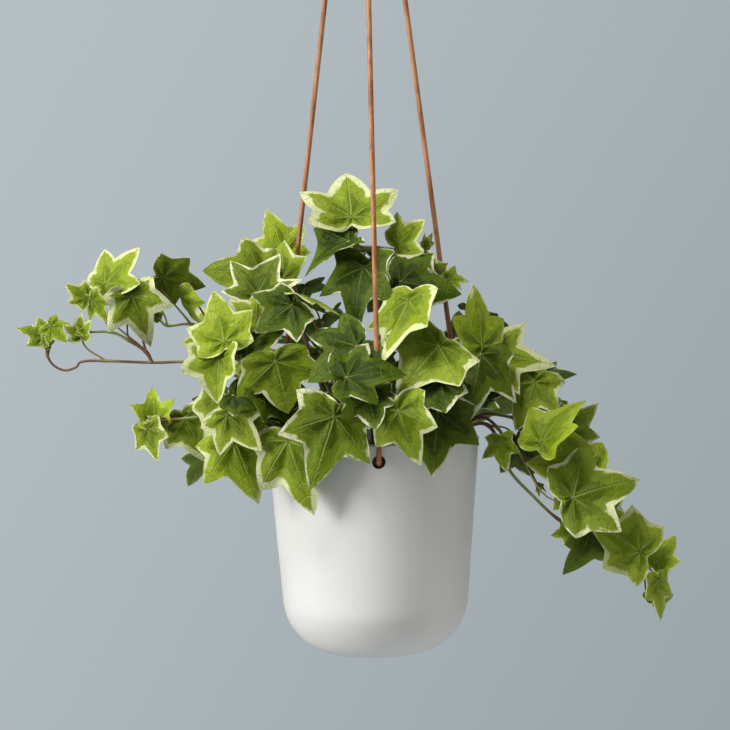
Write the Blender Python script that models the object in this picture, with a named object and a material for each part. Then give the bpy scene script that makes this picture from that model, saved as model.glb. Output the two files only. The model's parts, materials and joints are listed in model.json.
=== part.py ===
"""Potted ivy in a hanging ceramic pot.

A white turned pot hangs on three leather cords that meet in one knot under a loop.
It is full of potting soil and planted with cuttings of variegated ivy. The origin is
where a hook bears on the inside of the loop, +Z is up, and all lengths are metres.
"""

from dataclasses import dataclass
from math import atan, ceil, cos, degrees, inf, pi, radians, sin, sqrt
from random import Random

import bmesh
import bpy
from mathutils import Matrix, Quaternion, Vector
from mathutils.bvhtree import BVHTree

MM = 0.001
GAP = 0.3 * MM  # between pieces that touch

# Pot
RIM_RADIUS = 67.5 * MM
POT_HEIGHT = 138 * MM
TAPER = 8.2 * MM  # the wall comes in this much from the rim to the base
BASE_CORNER = 37 * MM
POT_WALL = 4 * MM
POT_SEGMENTS = 48

# Hanging gear
RIM_DROP = 482 * MM  # from the hook down to the rim
CORD = 3.2 * MM
HOLE = 8.2 * MM
HOLE_DEPTH = 11 * MM  # from the rim down to a hole's centre
HOLE_AZIMUTHS = (-87.3, 32.7, 152.7)  # front, right, left; degrees from +X
CORD_NAMES = ("front", "right", "left")
STOPPER_RADIUS = 5 * MM
KNOT_HEIGHT = 16 * MM
KNOT_RADIUS = 9 * MM
LOOP_HEIGHT = 23 * MM  # clear height inside the loop
LOOP_WIDTH = 20 * MM  # clear width inside the loop
CORDS_APART = 5.6 * MM  # from the axis to each cord where they enter the knot

# Soil
SOIL_BELOW_RIM = 7 * MM

# Ivy
STEM = 2.8 * MM  # thickness of a stem at its foot
STEM_TIP = 1.7 * MM
PETIOLE = 1.5 * MM
BLADE = 0.8 * MM
LEAF_CLEARANCE = 0.5 * MM
PLANT_RADIUS = 67.5 * MM  # rim radius that the routes and leaves below are drawn for
PLANT_LEAN = 0.9  # degrees that the whole plant leans to the right above the soil

RIM_Z = -RIM_DROP
BASE_Z = RIM_Z - POT_HEIGHT
KNOT_TOP = -LOOP_HEIGHT
KNOT_BOTTOM = KNOT_TOP - KNOT_HEIGHT

# One half of a lobed leaf: angle from the midrib, distance from the stalk's end
LEAF_OUTLINE = ((0, 1.0), (27, 0.52), (53, 0.80), (108, 0.52))
LEAF_HEEL = 0.06  # the blade runs on this much of its length behind the stalk's end
STALK_TUCK = 0.12  # and the stalk ends this far inside it


@dataclass(frozen=True)
class Runner:
    """A stem's route, and its leaves: each as (stalk's end, tip, turn about the midrib in
    degrees, width), or only how many there are. A route that starts at FOOT is rooted, and
    any other starts on the first runner of its vine. Places are millimetres from the middle
    of the rim: x right, y away, z up.
    """

    route: tuple
    leaves: tuple = ()
    leaf_count: int = 0


@dataclass(frozen=True)
class Vine:
    """One rooted cutting: the way that its leaves face, and its runners."""

    facing: tuple
    runners: tuple


FOOT = (GAP - SOIL_BELOW_RIM) / MM  # height at which a stem leaves the soil
FRONT = (-0.1, -0.85, 0.5)
BACK = (0.1, 0.85, 0.5)
LEFT = (-0.35, -0.75, 0.55)
RIGHT = (0.35, -0.75, 0.55)

VINES = {
    "right_trailer": Vine(FRONT, (
        Runner((
            (44, -20, FOOT), (60, -24, 8), (72, -29, 9), (81, -32, -6), (86, -32, -20), (100, -33, -35),
            (115, -33, -49), (135, -31, -62), (155, -30, -74), (170, -29, -84), (178, -29, -100),
        ), (
            ((83, -34, 0), (85, -38, -20), 40, 1.0), ((124, -30, -58), (111, -28, -60), 0, 1.0),
            ((136, -34, -57), (125, -38, -86), -25, 1.0), ((145, -24, -47), (161, -20, -31), 30, 0.8),
            ((166, -38, -69), (133, -43, -48), 0, 1.0), ((178, -24, -78), (190, -22, -60), 20, 1.0),
            ((179, -27, -101), (190, -26, -84), 35, 1.0), ((178, -34, -88), (180, -36, -113), -50, 0.9),
        )),
    )),
    "right_short_trailer": Vine(FRONT, (
        Runner((
            (44, -12, FOOT), (58, -17, 9), (71, -21, 13), (84, -22, 0), (94, -23, -12), (104, -25, -30),
        ), (
            ((136, -32, -20), (97, -40, -12), 0, 1.0), ((123, -52, -34), (165, -50, -19), 0, 1.1),
            ((92, -18, -2), (104, -8, -28), 0, 1.0),
        )),
    )),
    "right_upper_trailer": Vine(RIGHT, (
        Runner((
            (50, -4, FOOT), (61, -7, 10), (72, -11, 15), (88, -13, 13), (101, -14, 12), (114, -14, 6),
        ), (
            ((102, -16, 36), (89, -26, 6), 10, 1.0), ((111, -10, 22), (116, -4, 54), 55, 1.0),
            ((105, -42, 0), (122, -38, 32), -52, 1.0), ((120, -15, 2), (139, -13, 25), 35, 1.0),
            ((118, -6, 4), (132, 8, -22), 0, 1.0),
        )),
    )),
    "right_crown": Vine(RIGHT, (
        Runner((
            (38, 6, FOOT), (50, 0, 22), (60, -6, 44), (70, -10, 54), (78, -12, 57),
        ), (
            ((67, -32, 54), (58, -56, 14), 25, 0.9), ((66, -26, 59), (61, -18, 97), 15, 0.95),
            ((71, -2, 72), (67, 4, 93), 60, 1.0), ((78, -18, 57), (119, -16, 58), 0, 1.05),
        )),
    )),
    "crown_right": Vine(FRONT, (
        Runner((
            (18, 0, FOOT), (21, 0, 40), (26, 2, 80), (32, 5, 108), (34, 7, 122),
        ), (
            ((17, -20, 99), (56, -22, 93), 0, 1.1), ((26, -6, 94), (11, -6, 123), 20, 0.9),
            ((44, 24, 100), (57, 30, 102), 0, 1.0), ((16, 4, 123), (33, -2, 138), 0, 1.2),
            ((36, 10, 104), (38, 16, 124), 30, 1.0),
        )),
    )),
    "crown_top": Vine(FRONT, (
        Runner((
            (-6, 6, FOOT), (-8, 6, 50), (-10, 6, 100), (-13, 4, 128),
        ), (
            ((-46, -38, 91), (-18, -44, 84), -60, 1.0), ((-6, -22, 108), (-18, -40, 70), 0, 0.9),
            ((-15, -12, 123), (-46, -14, 109), 20, 1.0), ((-14, -4, 140), (-17, 22, 172), 0, 1.15),
            ((-4, 16, 118), (8, 40, 128), 0, 1.0),
        )),
    )),
    "crown_left": Vine(FRONT, (
        Runner((
            (-22, 2, FOOT), (-36, 0, 40), (-50, -2, 80), (-60, -2, 104),
        ), (
            ((-64, -36, 91), (-55, -20, 119), 0, 1.15), ((-70, -12, 103), (-107, -14, 110), 0, 1.0),
            ((-58, 28, 117), (-69, 34, 146), 20, 1.0), ((-58, 10, 100), (-84, 24, 116), 0, 1.0),
        )),
    )),
    "left_runner": Vine(LEFT, (
        Runner((
            (-42, -8, FOOT), (-62, -14, 18), (-84, -18, 38), (-108, -20, 48), (-139, -20, 48),
            (-180, -18, 49), (-187, -18, 45), (-194, -18, 43), (-201, -18, 46), (-205, -18, 52),
            (-206, -18, 60),
        ), (
            ((-184, -18, 65), (-186, -15, 81), 20, 0.9), ((-203, -20, 71), (-192, -22, 61), 0, 1.0),
            ((-206, -18, 66), (-223, -20, 73), 0, 1.0),
        )),
        Runner((
            (-139, -20, 48), (-143, -20, 55), (-154, -19, 62), (-165, -18, 67), (-182, -18, 67),
        ), (
            ((-151, -28, 90), (-139, -32, 60), 0, 1.0), ((-153, -22, 84), (-142, -26, 103), 10, 1.1),
            ((-167, -18, 96), (-145, -16, 119), 0, 1.0), ((-176, -22, 88), (-165, -24, 71), 50, 0.9),
            ((-181, -18, 88), (-194, -18, 97), 10, 1.0),
        )),
    )),
    "left_crown": Vine(LEFT, (
        Runner((
            (-38, 2, FOOT), (-62, -2, 26), (-84, -6, 52), (-100, -10, 66), (-115, -13, 72), (-130, -14, 71),
            (-136, -14, 77),
        ), (
            ((-100, -2, 60), (-112, 14, 84), 0, 1.0), ((-121, -16, 90), (-113, -20, 68), 35, 0.9),
            ((-134, -20, 101), (-106, -18, 95), 55, 0.9), ((-137, -14, 84), (-146, -12, 90), 0, 1.0),
        )),
    )),
    "left_low_spray": Vine(LEFT, (
        Runner((
            (-42, -20, FOOT), (-58, -32, 6), (-78, -38, 14), (-104, -37, 15), (-126, -36, 13),
            (-136, -35, 12),
        ), (
            ((-99, -44, 26), (-109, -48, 4), 0, 1.0), ((-119, -38, 15), (-106, -44, -13), 0, 1.0),
            ((-137, -34, 13), (-140, -30, 35), 10, 0.9), ((-141, -36, 8), (-134, -40, -13), 15, 0.9),
        )),
    )),
    "front_left": Vine(LEFT, (
        Runner((
            (-30, -30, FOOT), (-46, -44, 12), (-62, -50, 28), (-78, -50, 44), (-87, -46, 60),
        ), (
            ((-86, -52, 1), (-71, -63, -35), 0, 1.1), ((-90, -60, 18), (-68, -68, -4), 10, 1.0),
            ((-86, -58, 28), (-69, -62, 20), 0, 1.1), ((-72, -54, 35), (-50, -64, 9), 0, 1.0),
            ((-95, -50, 53), (-98, -57, 25), 0, 1.1), ((-78, -54, 57), (-55, -52, 73), 0, 1.0),
            ((-92, -54, 63), (-99, -46, 94), 0, 1.15), ((-72, -44, 78), (-90, -40, 88), 20, 1.0),
        )),
    )),
    "front_centre": Vine(FRONT, (
        Runner((
            (-10, -34, FOOT), (-18, -50, 14), (-28, -56, 34), (-42, -54, 54),
        ), (
            ((-52, -64, 2), (-38, -78, -41), 20, 0.9), ((-24, -74, 18), (-38, -84, -26), -10, 1.0),
            ((-10, -60, 60), (-40, -68, 38), 0, 1.1), ((-62, -60, 51), (-55, -70, 20), 0, 1.3),
            ((-48, -44, 85), (-72, -48, 68), 0, 1.1),
        )),
    )),
    "front_right": Vine(FRONT, (
        Runner((
            (14, -34, FOOT), (18, -50, 14), (26, -56, 34), (36, -52, 54),
        ), (
            ((15, -82, 22), (25, -87, -12), 25, 0.9), ((36, -66, 20), (29, -78, -19), 0, 1.1),
            ((-4, -74, 30), (3, -81, 6), 0, 1.2), ((41, -60, 36), (16, -72, 19), 0, 1.1),
            ((-14, -68, 36), (20, -72, 44), 0, 1.0), ((40, -58, 60), (15, -69, 29), 0, 1.2),
            ((23, -50, 88), (-4, -68, 56), 45, 0.9),
        )),
    )),
    "heart_middle": Vine(FRONT, (
        Runner((
            (0, -14, FOOT), (0, -22, 22), (2, -28, 44), (6, -30, 64),
        ), leaf_count=4),
    )),
    "heart_left": Vine(FRONT, (
        Runner((
            (-30, -12, FOOT), (-42, -20, 24), (-50, -24, 50),
        ), leaf_count=5),
    )),
    "heart_right": Vine(FRONT, (
        Runner((
            (34, -18, FOOT), (46, -30, 18), (54, -36, 34),
        ), leaf_count=3),
    )),
    "back_left_trailer": Vine(BACK, (
        Runner((
            (-26, 28, FOOT), (-40, 46, 12), (-58, 62, 28), (-78, 76, 22), (-92, 84, 0), (-98, 88, -26),
        ), leaf_count=6),
    )),
    "back_left_crown": Vine(BACK, (
        Runner((
            (-36, 14, FOOT), (-54, 19, 24), (-78, 28, 44), (-100, 38, 50),
        ), leaf_count=5),
    )),
    "back_centre_trailer": Vine(BACK, (
        Runner((
            (0, 32, FOOT), (0, 50, 14), (4, 70, 20), (7, 84, 2), (6, 90, -26), (2, 92, -52),
        ), leaf_count=6),
    )),
    "back_centre_crown": Vine(BACK, (
        Runner((
            (-12, 26, FOOT), (-16, 40, 26), (-24, 54, 44), (-34, 66, 50),
        ), leaf_count=6),
    )),
    "back_right_trailer": Vine(BACK, (
        Runner((
            (26, 28, FOOT), (40, 46, 12), (60, 60, 30), (82, 70, 30), (100, 76, 16), (112, 80, -6),
        ), leaf_count=6),
    )),
    "back_right_crown": Vine(BACK, (
        Runner((
            (16, 26, FOOT), (24, 42, 28), (34, 54, 48), (46, 62, 58),
        ), leaf_count=5),
    )),
    "right_side": Vine(RIGHT, (
        Runner((
            (44, 12, FOOT), (60, 20, 14), (78, 26, 26), (96, 30, 22), (110, 32, 6),
        ), leaf_count=5),
    )),
    "crown_back": Vine(BACK, (
        Runner((
            (4, 14, FOOT), (6, 22, 46), (10, 30, 82), (16, 38, 102),
        ), leaf_count=5),
    )),
    "crown_back_left": Vine(BACK, (
        Runner((
            (-16, 14, FOOT), (-28, 24, 44), (-40, 32, 76), (-52, 38, 92),
        ), leaf_count=6),
    )),
    "crown_back_right": Vine(BACK, (
        Runner((
            (22, 12, FOOT), (38, 20, 36), (54, 26, 62), (68, 30, 74),
        ), leaf_count=4),
    )),
}


def finish(name, colour, roughness):
    """Return a Principled material of one colour."""
    material = bpy.data.materials.new(name)
    material.use_nodes = True
    shader = material.node_tree.nodes["Principled BSDF"]
    shader.inputs["Base Color"].default_value = (*colour, 1.0)
    shader.inputs["Roughness"].default_value = roughness
    return material


def add_piece(name, mesh, material, smooth_angle=35):
    """Put a mesh in the scene as one named piece."""
    mesh.name = name
    mesh.materials.clear()
    mesh.materials.append(material)
    mesh.shade_smooth()
    mesh.set_sharp_from_angle(angle=radians(smooth_angle))
    piece = bpy.data.objects.new(name, mesh)
    bpy.context.scene.collection.objects.link(piece)
    return piece


def combined(mesh, others, operation):
    """Return a mesh cut by, or joined with, other meshes."""
    scratch = bpy.data.collections.new("scratch")
    bpy.context.scene.collection.children.link(scratch)
    body = bpy.data.objects.new("body", mesh)
    bpy.context.scene.collection.objects.link(body)
    for other in others:
        scratch.objects.link(bpy.data.objects.new("other", other))
    boolean = body.modifiers.new("Boolean", "BOOLEAN")
    boolean.operation = operation
    boolean.solver = "EXACT"
    boolean.operand_type = "COLLECTION"
    boolean.collection = scratch
    bpy.context.view_layer.update()
    result = bpy.data.meshes.new_from_object(body.evaluated_get(bpy.context.evaluated_depsgraph_get()))
    for item in [body, *scratch.objects]:
        bpy.data.objects.remove(item)
    bpy.data.collections.remove(scratch)
    return result


def turned(profile, segments):
    """Turn a profile of (radius, height) that starts and ends on the axis, outside first."""
    mesh = bpy.data.meshes.new("turned")
    shape = bmesh.new()
    corners = [shape.verts.new((radius, 0, height)) for radius, height in profile]
    edges = [shape.edges.new(pair) for pair in zip(corners, corners[1:])]
    bmesh.ops.spin(shape, geom=corners + edges, axis=(0, 0, 1), cent=(0, 0, 0), angle=2 * pi,
                   steps=segments, use_merge=True)
    bmesh.ops.remove_doubles(shape, verts=shape.verts, dist=0.01 * MM)
    bmesh.ops.recalc_face_normals(shape, faces=shape.faces)
    shape.to_mesh(mesh)
    shape.free()
    return mesh


def arc(centre_radius, centre_height, radius, first, last, steps):
    """Return points of a profile's round corner; the angles are degrees from straight out."""
    angles = [radians(first + (last - first) * step / steps) for step in range(steps + 1)]
    return [(centre_radius + radius * cos(a), centre_height + radius * sin(a)) for a in angles]


def wall_radius(height_below_rim):
    """Return the pot's outer radius on the straight part of its wall."""
    return RIM_RADIUS - TAPER * height_below_rim / (POT_HEIGHT - BASE_CORNER)


def bowl(inset, top_z, steps):
    """Return the bowl's profile from the axis to top_z, set in from the outside by inset."""
    corner = BASE_CORNER - inset
    lean = TAPER / (POT_HEIGHT - BASE_CORNER)
    angle = -degrees(atan(lean))
    centre_z = BASE_Z + BASE_CORNER
    centre_radius = RIM_RADIUS - TAPER - BASE_CORNER * sqrt(1 + lean * lean)
    points = [(0, centre_z - corner), *arc(centre_radius, centre_z, corner, -90, angle, steps)]
    return [*points, (wall_radius(RIM_Z - top_z) - inset, top_z)]


def make_pot(material):
    """Turn the pot and drill its three cord holes."""
    lip = POT_WALL / 2
    outside = bowl(0, RIM_Z - lip, 7)
    inside = bowl(POT_WALL, RIM_Z - lip, 5)
    rim = arc(RIM_RADIUS - lip, RIM_Z - lip, lip, 0, 180, 4)[1:-1]
    mesh = turned([*outside, *rim, *reversed(inside)], POT_SEGMENTS)
    drills = [peg(azimuth, HOLE / 2, wall_radius(HOLE_DEPTH) - 4 * POT_WALL, 8 * POT_WALL)
              for azimuth in HOLE_AZIMUTHS]
    return add_piece("pot", combined(mesh, drills, "DIFFERENCE"), material)


def peg(azimuth, radius, start, length):
    """Return a round cutter that points outwards at a cord hole."""
    mesh = bpy.data.meshes.new("peg")
    shape = bmesh.new()
    centre = Vector((start + length / 2, 0, RIM_Z - HOLE_DEPTH))
    place = Matrix.Rotation(radians(azimuth), 4, "Z") @ Matrix.Translation(centre)
    bmesh.ops.create_cone(shape, cap_ends=True, segments=16, radius1=radius, radius2=radius, depth=length,
                          matrix=place @ Matrix.Rotation(pi / 2, 4, "Y"))
    shape.to_mesh(mesh)
    shape.free()
    return mesh


def make_soil(material):
    """Fill the pot with soil, with a pocket round each stopper knot."""
    inset = POT_WALL + GAP
    profile = bowl(inset, RIM_Z - SOIL_BELOW_RIM, 5)
    mesh = turned([*profile, (0, RIM_Z - SOIL_BELOW_RIM)], POT_SEGMENTS)
    depth = HOLE_DEPTH - SOIL_BELOW_RIM + STOPPER_RADIUS + 2 * GAP
    pockets = []
    for azimuth in HOLE_AZIMUTHS:
        pocket = bpy.data.meshes.new("pocket")
        shape = bmesh.new()
        reach = wall_radius(HOLE_DEPTH) - POT_WALL - STOPPER_RADIUS
        spot = Matrix.Rotation(radians(azimuth), 4, "Z") @ Vector((reach, 0, 0))
        spot.z = RIM_Z - SOIL_BELOW_RIM
        radius = STOPPER_RADIUS + 3 * GAP
        bmesh.ops.create_cube(shape, size=1, matrix=Matrix.Translation(spot)
                              @ Matrix.Rotation(radians(azimuth), 4, "Z")
                              @ Matrix.Diagonal((4 * radius, 2 * radius, 2 * depth, 1)))
        shape.to_mesh(pocket)
        shape.free()
        pockets.append(pocket)
    return add_piece("soil", combined(mesh, pockets, "DIFFERENCE"), material)


def smooth_points(route, spacing):
    """Return points about one spacing apart on a smooth curve through a route's points."""
    ends = [2 * route[0] - route[1], *route, 2 * route[-1] - route[-2]]
    points = [route[0].copy()]
    for before, start, end, after in zip(ends, ends[1:], ends[2:], ends[3:]):
        steps = max(1, ceil((end - start).length / spacing))
        for step in range(1, steps + 1):
            t = step / steps
            points.append(0.5 * (2 * start + (end - before) * t
                                 + (2 * before - 5 * start + 4 * end - after) * t * t
                                 + (3 * start - before - 3 * end + after) * t * t * t))
    return points


def chord_points(points, spacing):
    """Return points about one spacing apart on the straight lines from point to point."""
    line = [points[0]]
    for start, end in zip(points, points[1:]):
        steps = ceil((end - start).length / spacing)
        line += [start.lerp(end, step / steps) for step in range(1, steps + 1)]
    return line


def tube_mesh(points, radii, bevel_resolution):
    """Return a closed tube along points, made from a curve with filled ends."""
    curve = bpy.data.curves.new("tube", "CURVE")
    curve.dimensions = "3D"
    curve.bevel_depth = 1.0
    curve.bevel_resolution = bevel_resolution
    curve.use_fill_caps = True
    spline = curve.splines.new("POLY")
    spline.points.add(len(points) - 1)
    for knot, point, radius in zip(spline.points, points, radii):
        knot.co = (*point, 1.0)
        knot.radius = radius
    holder = bpy.data.objects.new("tube", curve)
    mesh = bpy.data.meshes.new_from_object(holder)
    bpy.data.objects.remove(holder)
    bpy.data.curves.remove(curve)
    return mesh


def make_cord(name, azimuth, material):
    """Lead one cord from its stopper knot out of its hole, over the rim and up to the knot."""
    hole_radius = wall_radius(HOLE_DEPTH)
    outside = RIM_RADIUS + CORD / 2 + 3 * GAP
    inner_end = hole_radius - POT_WALL + GAP
    top = (CORDS_APART, KNOT_BOTTOM - GAP - RIM_Z)
    bend = ((inner_end, -12.2 * MM), (hole_radius - 2.0 * MM, -11.9 * MM), (hole_radius + 0.3 * MM, -10.8 * MM),
            (outside - 1.3 * MM, -8.2 * MM), (outside - 0.1 * MM, -5.0 * MM), (outside, -1.0 * MM))
    turn = Matrix.Rotation(radians(azimuth), 3, "Z")
    bend_points = [turn @ Vector((radius, 0, RIM_Z + height)) for radius, height in bend]
    last = turn @ Vector((top[0], 0, RIM_Z + top[1]))
    run = [bend_points[-1].lerp(last, step / 8) for step in range(1, 9)]
    route = [*smooth_points(bend_points, 2 * MM), *smooth_points([bend_points[-1], *run], 2.9 * CORD)[1:]]
    curve = bpy.data.curves.new(name, "CURVE")
    curve.dimensions = "3D"
    curve.bevel_depth = CORD / 2
    curve.bevel_resolution = 2
    curve.use_fill_caps = True
    curve.materials.append(material)
    spline = curve.splines.new("POLY")
    spline.points.add(len(route) - 1)
    for knot, point in zip(spline.points, route):
        knot.co = (*point, 1.0)
    cord = bpy.data.objects.new(name, curve)
    bpy.context.scene.collection.objects.link(cord)
    return cord


def make_stopper(name, azimuth, material):
    """Make the knot that holds a cord inside the wall."""
    mesh = bpy.data.meshes.new(name)
    shape = bmesh.new()
    reach = wall_radius(HOLE_DEPTH) - POT_WALL - GAP - STOPPER_RADIUS
    spot = Matrix.Rotation(radians(azimuth), 4, "Z") @ Vector((reach, 0, RIM_Z - HOLE_DEPTH))
    bmesh.ops.create_icosphere(shape, subdivisions=2, radius=STOPPER_RADIUS, matrix=Matrix.Translation(spot))
    shape.to_mesh(mesh)
    shape.free()
    return add_piece(name, mesh, material)


def make_top_knot(material):
    """Make the knot that gathers the three cords."""
    waist = 0.8 * KNOT_RADIUS
    profile = [(0, KNOT_BOTTOM), (waist, KNOT_BOTTOM), (KNOT_RADIUS, KNOT_BOTTOM + 0.3 * KNOT_HEIGHT),
               (KNOT_RADIUS, KNOT_BOTTOM + 0.7 * KNOT_HEIGHT), (waist, KNOT_TOP), (0, KNOT_TOP)]
    return add_piece("top_knot", turned(profile, 16), material)


def make_loop(material):
    """Bend the loop that a hook goes through, from the knot's top and back to it."""
    half = (LOOP_WIDTH + CORD) / 2
    foot = 0.45 * LOOP_WIDTH / 2
    shoulder = KNOT_TOP + 0.55 * LOOP_HEIGHT
    one_side = [Vector((foot, 0, KNOT_TOP + GAP)), Vector((foot, 0, KNOT_TOP + 0.12 * LOOP_HEIGHT)),
                Vector((0.9 * half, 0, KNOT_TOP + 0.34 * LOOP_HEIGHT)), Vector((half, 0, shoulder)),
                Vector((0.66 * half, 0, -0.09 * LOOP_HEIGHT + CORD / 2))]
    crown = Vector((0, 0, CORD / 2))
    other_side = [Vector((-point.x, 0, point.z)) for point in reversed(one_side)]
    points = smooth_points([*one_side, crown, *other_side], 3.5 * MM)
    mesh = tube_mesh(points, [CORD / 2] * len(points), 2)
    return add_piece("hanging_loop", mesh, material)


class Leaf:
    """One leaf: where its blade lies, and the solids of its blade and stalk."""

    def __init__(self, base, tip, facing, turn, width):
        self.base = base
        self.length = (tip - base).length
        self.along = (tip - base).normalized()
        flat = (facing - self.along * facing.dot(self.along)).normalized()
        self.up = Quaternion(self.along, radians(turn)) @ flat
        self.width = width
        self.foot = base  # where its stalk leaves the stem

    def moved(self, lift, tilt, swing):
        """Return a copy lifted off its face, tilted about its base and swung round its foot."""
        tilting = Quaternion(self.along.cross(self.up), radians(tilt))
        swinging = Quaternion((0, 0, 1), radians(swing))
        base = self.foot + swinging @ (self.base + self.up * lift - self.foot)
        along = swinging @ (tilting @ self.along)
        copy = Leaf(base, base + along * self.length, swinging @ (tilting @ self.up), 0, self.width)
        copy.foot = self.foot
        return copy

    def stalk(self):
        """Return the stalk's ends and the bend between them; it starts in the stem."""
        reach = (self.base - self.foot).length
        bend = self.base - self.along * 0.45 * reach - self.up * 0.15 * reach
        start = self.foot + (self.base - self.along * 0.45 * reach - self.foot) * 0.4
        start.z += 0.12 * reach
        middle = (self.foot + 3 * start + 3 * bend + self.base) / 8
        return [self.foot, middle, self.base + self.along * STALK_TUCK * self.length]

    def outline(self):
        """Return the outline's points on the middle plane of the blade, from heel to heel."""
        side = self.along.cross(self.up)
        half = [(radians(angle), reach * self.length) for angle, reach in LEAF_OUTLINE]
        whole = [*reversed(half), *((-angle, reach) for angle, reach in half[1:])]
        lobes = [self.base + self.along * cos(angle) * reach + side * sin(angle) * reach * self.width
                 for angle, reach in whole]
        heel = self.base - self.along * LEAF_HEEL * self.length
        return [heel + side * PETIOLE / 2, *lobes, heel - side * PETIOLE / 2]

    def blade(self):
        """Return the blade as a flat underside and a low ridge over it."""
        shape = bmesh.new()
        ring = [shape.verts.new(corner - self.up * BLADE / 2) for corner in self.outline()]
        ridge = shape.verts.new(self.base + self.along * 0.3 * self.length + self.up * BLADE / 2)
        shape.faces.new(ring)
        for pair in zip(ring, [*ring[1:], ring[0]]):
            shape.faces.new((*pair, ridge))
        bmesh.ops.recalc_face_normals(shape, faces=shape.faces)
        return shape

    def room(self):
        """Return the closed plate that the blade needs to itself."""
        shape = bmesh.new()
        thickness = BLADE + 2 * LEAF_CLEARANCE
        under = shape.faces.new([shape.verts.new(corner - self.up * thickness / 2) for corner in self.outline()])
        grown = bmesh.ops.extrude_face_region(shape, geom=[under], use_keep_orig=True)["geom"]
        top = [item for item in grown if isinstance(item, bmesh.types.BMVert)]
        bmesh.ops.translate(shape, vec=self.up * thickness, verts=top)
        return shape

    def solids(self):
        """Return the meshes of the blade and of its stalk."""
        blade = bpy.data.meshes.new("blade")
        shape = self.blade()
        shape.to_mesh(blade)
        shape.free()
        return [blade, tube_mesh(self.stalk(), [PETIOLE / 2] * 3, 0)]


class Obstacle:
    """Something that a leaf stays clear of, with the vine that it grows on."""

    def __init__(self, vine, shape):
        self.vine = vine
        corners = [vertex.co.copy() for vertex in shape.verts]
        self.low = [min(corner[axis] for corner in corners) for axis in range(3)]
        self.high = [max(corner[axis] for corner in corners) for axis in range(3)]
        self.tree = BVHTree.FromBMesh(shape)
        shape.free()

    def crossings(self, other):
        """Return how many faces of two obstacles cross."""
        apart = any(self.low[axis] > other.high[axis] or other.low[axis] > self.high[axis] for axis in range(3))
        return 0 if apart else len(self.tree.overlap(other.tree))

    def touches(self, points, distance):
        """Return how many of the points lie within a distance."""
        return sum(self.tree.find_nearest(point, distance)[0] is not None for point in points
                   if all(self.low[axis] - distance < point[axis] < self.high[axis] + distance
                          for axis in range(3)))


def obstacle_of(vine, mesh):
    """Return a mesh as an obstacle."""
    shape = bmesh.new()
    shape.from_mesh(mesh)
    return Obstacle(vine, shape)


def moves():
    """Return the moves that a leaf tries, as (lift, tilt, swing), smallest first."""
    lifts = [step * 1.5 * MM for step in range(-8, 9)]
    tilts = (0, 12, -12, 25, -25, 40, -40)
    swings = (0, 15, -15, 30, -30, 50, -50, 75, -75)
    every = [(lift, tilt, swing) for swing in swings for tilt in tilts for lift in lifts]
    return sorted(every, key=lambda move: abs(move[0]) / (3 * MM) + abs(move[1]) / 14 + abs(move[2]) / 18)


def settled(leaf, vine, placed):
    """Return the leaf moved as little as it needs to lie clear of what is already placed."""
    best, fewest = leaf, inf
    for lift, tilt, swing in moves():
        trial = leaf.moved(lift, tilt, swing)
        blade = Obstacle(vine, trial.room())
        line = chord_points(trial.stalk(), 1.2 * MM)
        reach = PETIOLE / 2 + LEAF_CLEARANCE
        count = 0
        for other in placed:
            crossed = blade.crossings(other)
            if other.vine == vine:
                count += crossed
            else:
                count += 10 * (crossed + other.touches(line, reach))
            if count >= fewest:
                break
        else:
            best, fewest = trial, count
        if fewest == 0:
            break
    return best


def in_metres(point):
    """Return a point of a route or a leaf in metres, from the hook, on a pot of this width."""
    x, y, z = point
    if z != FOOT:
        lean = radians(PLANT_LEAN)
        x, z = x * cos(lean) + z * sin(lean), z * cos(lean) - x * sin(lean)
    spread = RIM_RADIUS / PLANT_RADIUS
    return Vector((x * MM * spread, y * MM * spread, z * MM + RIM_Z))


def runner_points(route):
    """Return the smooth middle line of a runner; one that is rooted leaves the soil upright."""
    points = [in_metres(point) for point in route]
    if route[0][2] == FOOT:
        points.insert(1, points[0] + Vector((0, 0, 1.5 * STEM)))
    return smooth_points(points, 18 * MM)


def drawn_leaves(leaves, facing):
    """Return the leaves that are placed one by one."""
    return [Leaf(in_metres(base), in_metres(tip), Vector(facing), turn, width)
            for base, tip, turn, width in leaves]


def scattered_leaves(points, count, seed):
    """Return leaves left and right of a runner by turns, smaller towards its tip."""
    chance = Random(seed)
    first = 0.3
    leaves = []
    for number in range(count):
        along = first + (1 - first) * number / (count - 1)
        index = min(round(along * (len(points) - 1)), len(points) - 1)
        place = points[index]
        forward = (points[index] - points[index - 1]).normalized()
        outward = Vector((place.x, place.y, 0)).normalized()
        sideways = forward.cross(Vector((0, 0, 1)))
        sideways = (sideways if sideways.length > 0.2 else outward.cross(Vector((0, 0, 1)))).normalized()
        sideways *= (-1) ** number
        length = (36 - 12 * number / (count - 1) + chance.uniform(-3, 3)) * MM
        stalk = (sideways * 0.8 + outward * 0.5 + Vector((0, 0, 0.5))).normalized()
        base = place + stalk * chance.uniform(0.4, 0.6) * length
        aim = outward * 0.8 + sideways * chance.uniform(0.3, 0.8) + Vector((0, 0, chance.uniform(-0.9, 0.2)))
        facing = outward * 0.8 + Vector((0, 0, 0.7))
        turn = chance.uniform(-22, 22)
        leaves.append(Leaf(base, base + aim.normalized() * length, facing, turn, chance.uniform(0.95, 1.15)))
    return leaves


def join_to_stem(leaf, points):
    """Start a leaf's stalk at a point of its runner a little behind the nearest one."""
    nearest = min(range(len(points)), key=lambda index: (points[index] - leaf.base).length)
    back = 0.5 * (points[nearest] - leaf.base).length
    while nearest > 1 and back > 0:
        back -= (points[nearest] - points[nearest - 1]).length
        nearest -= 1
    leaf.foot = points[nearest]


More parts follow.
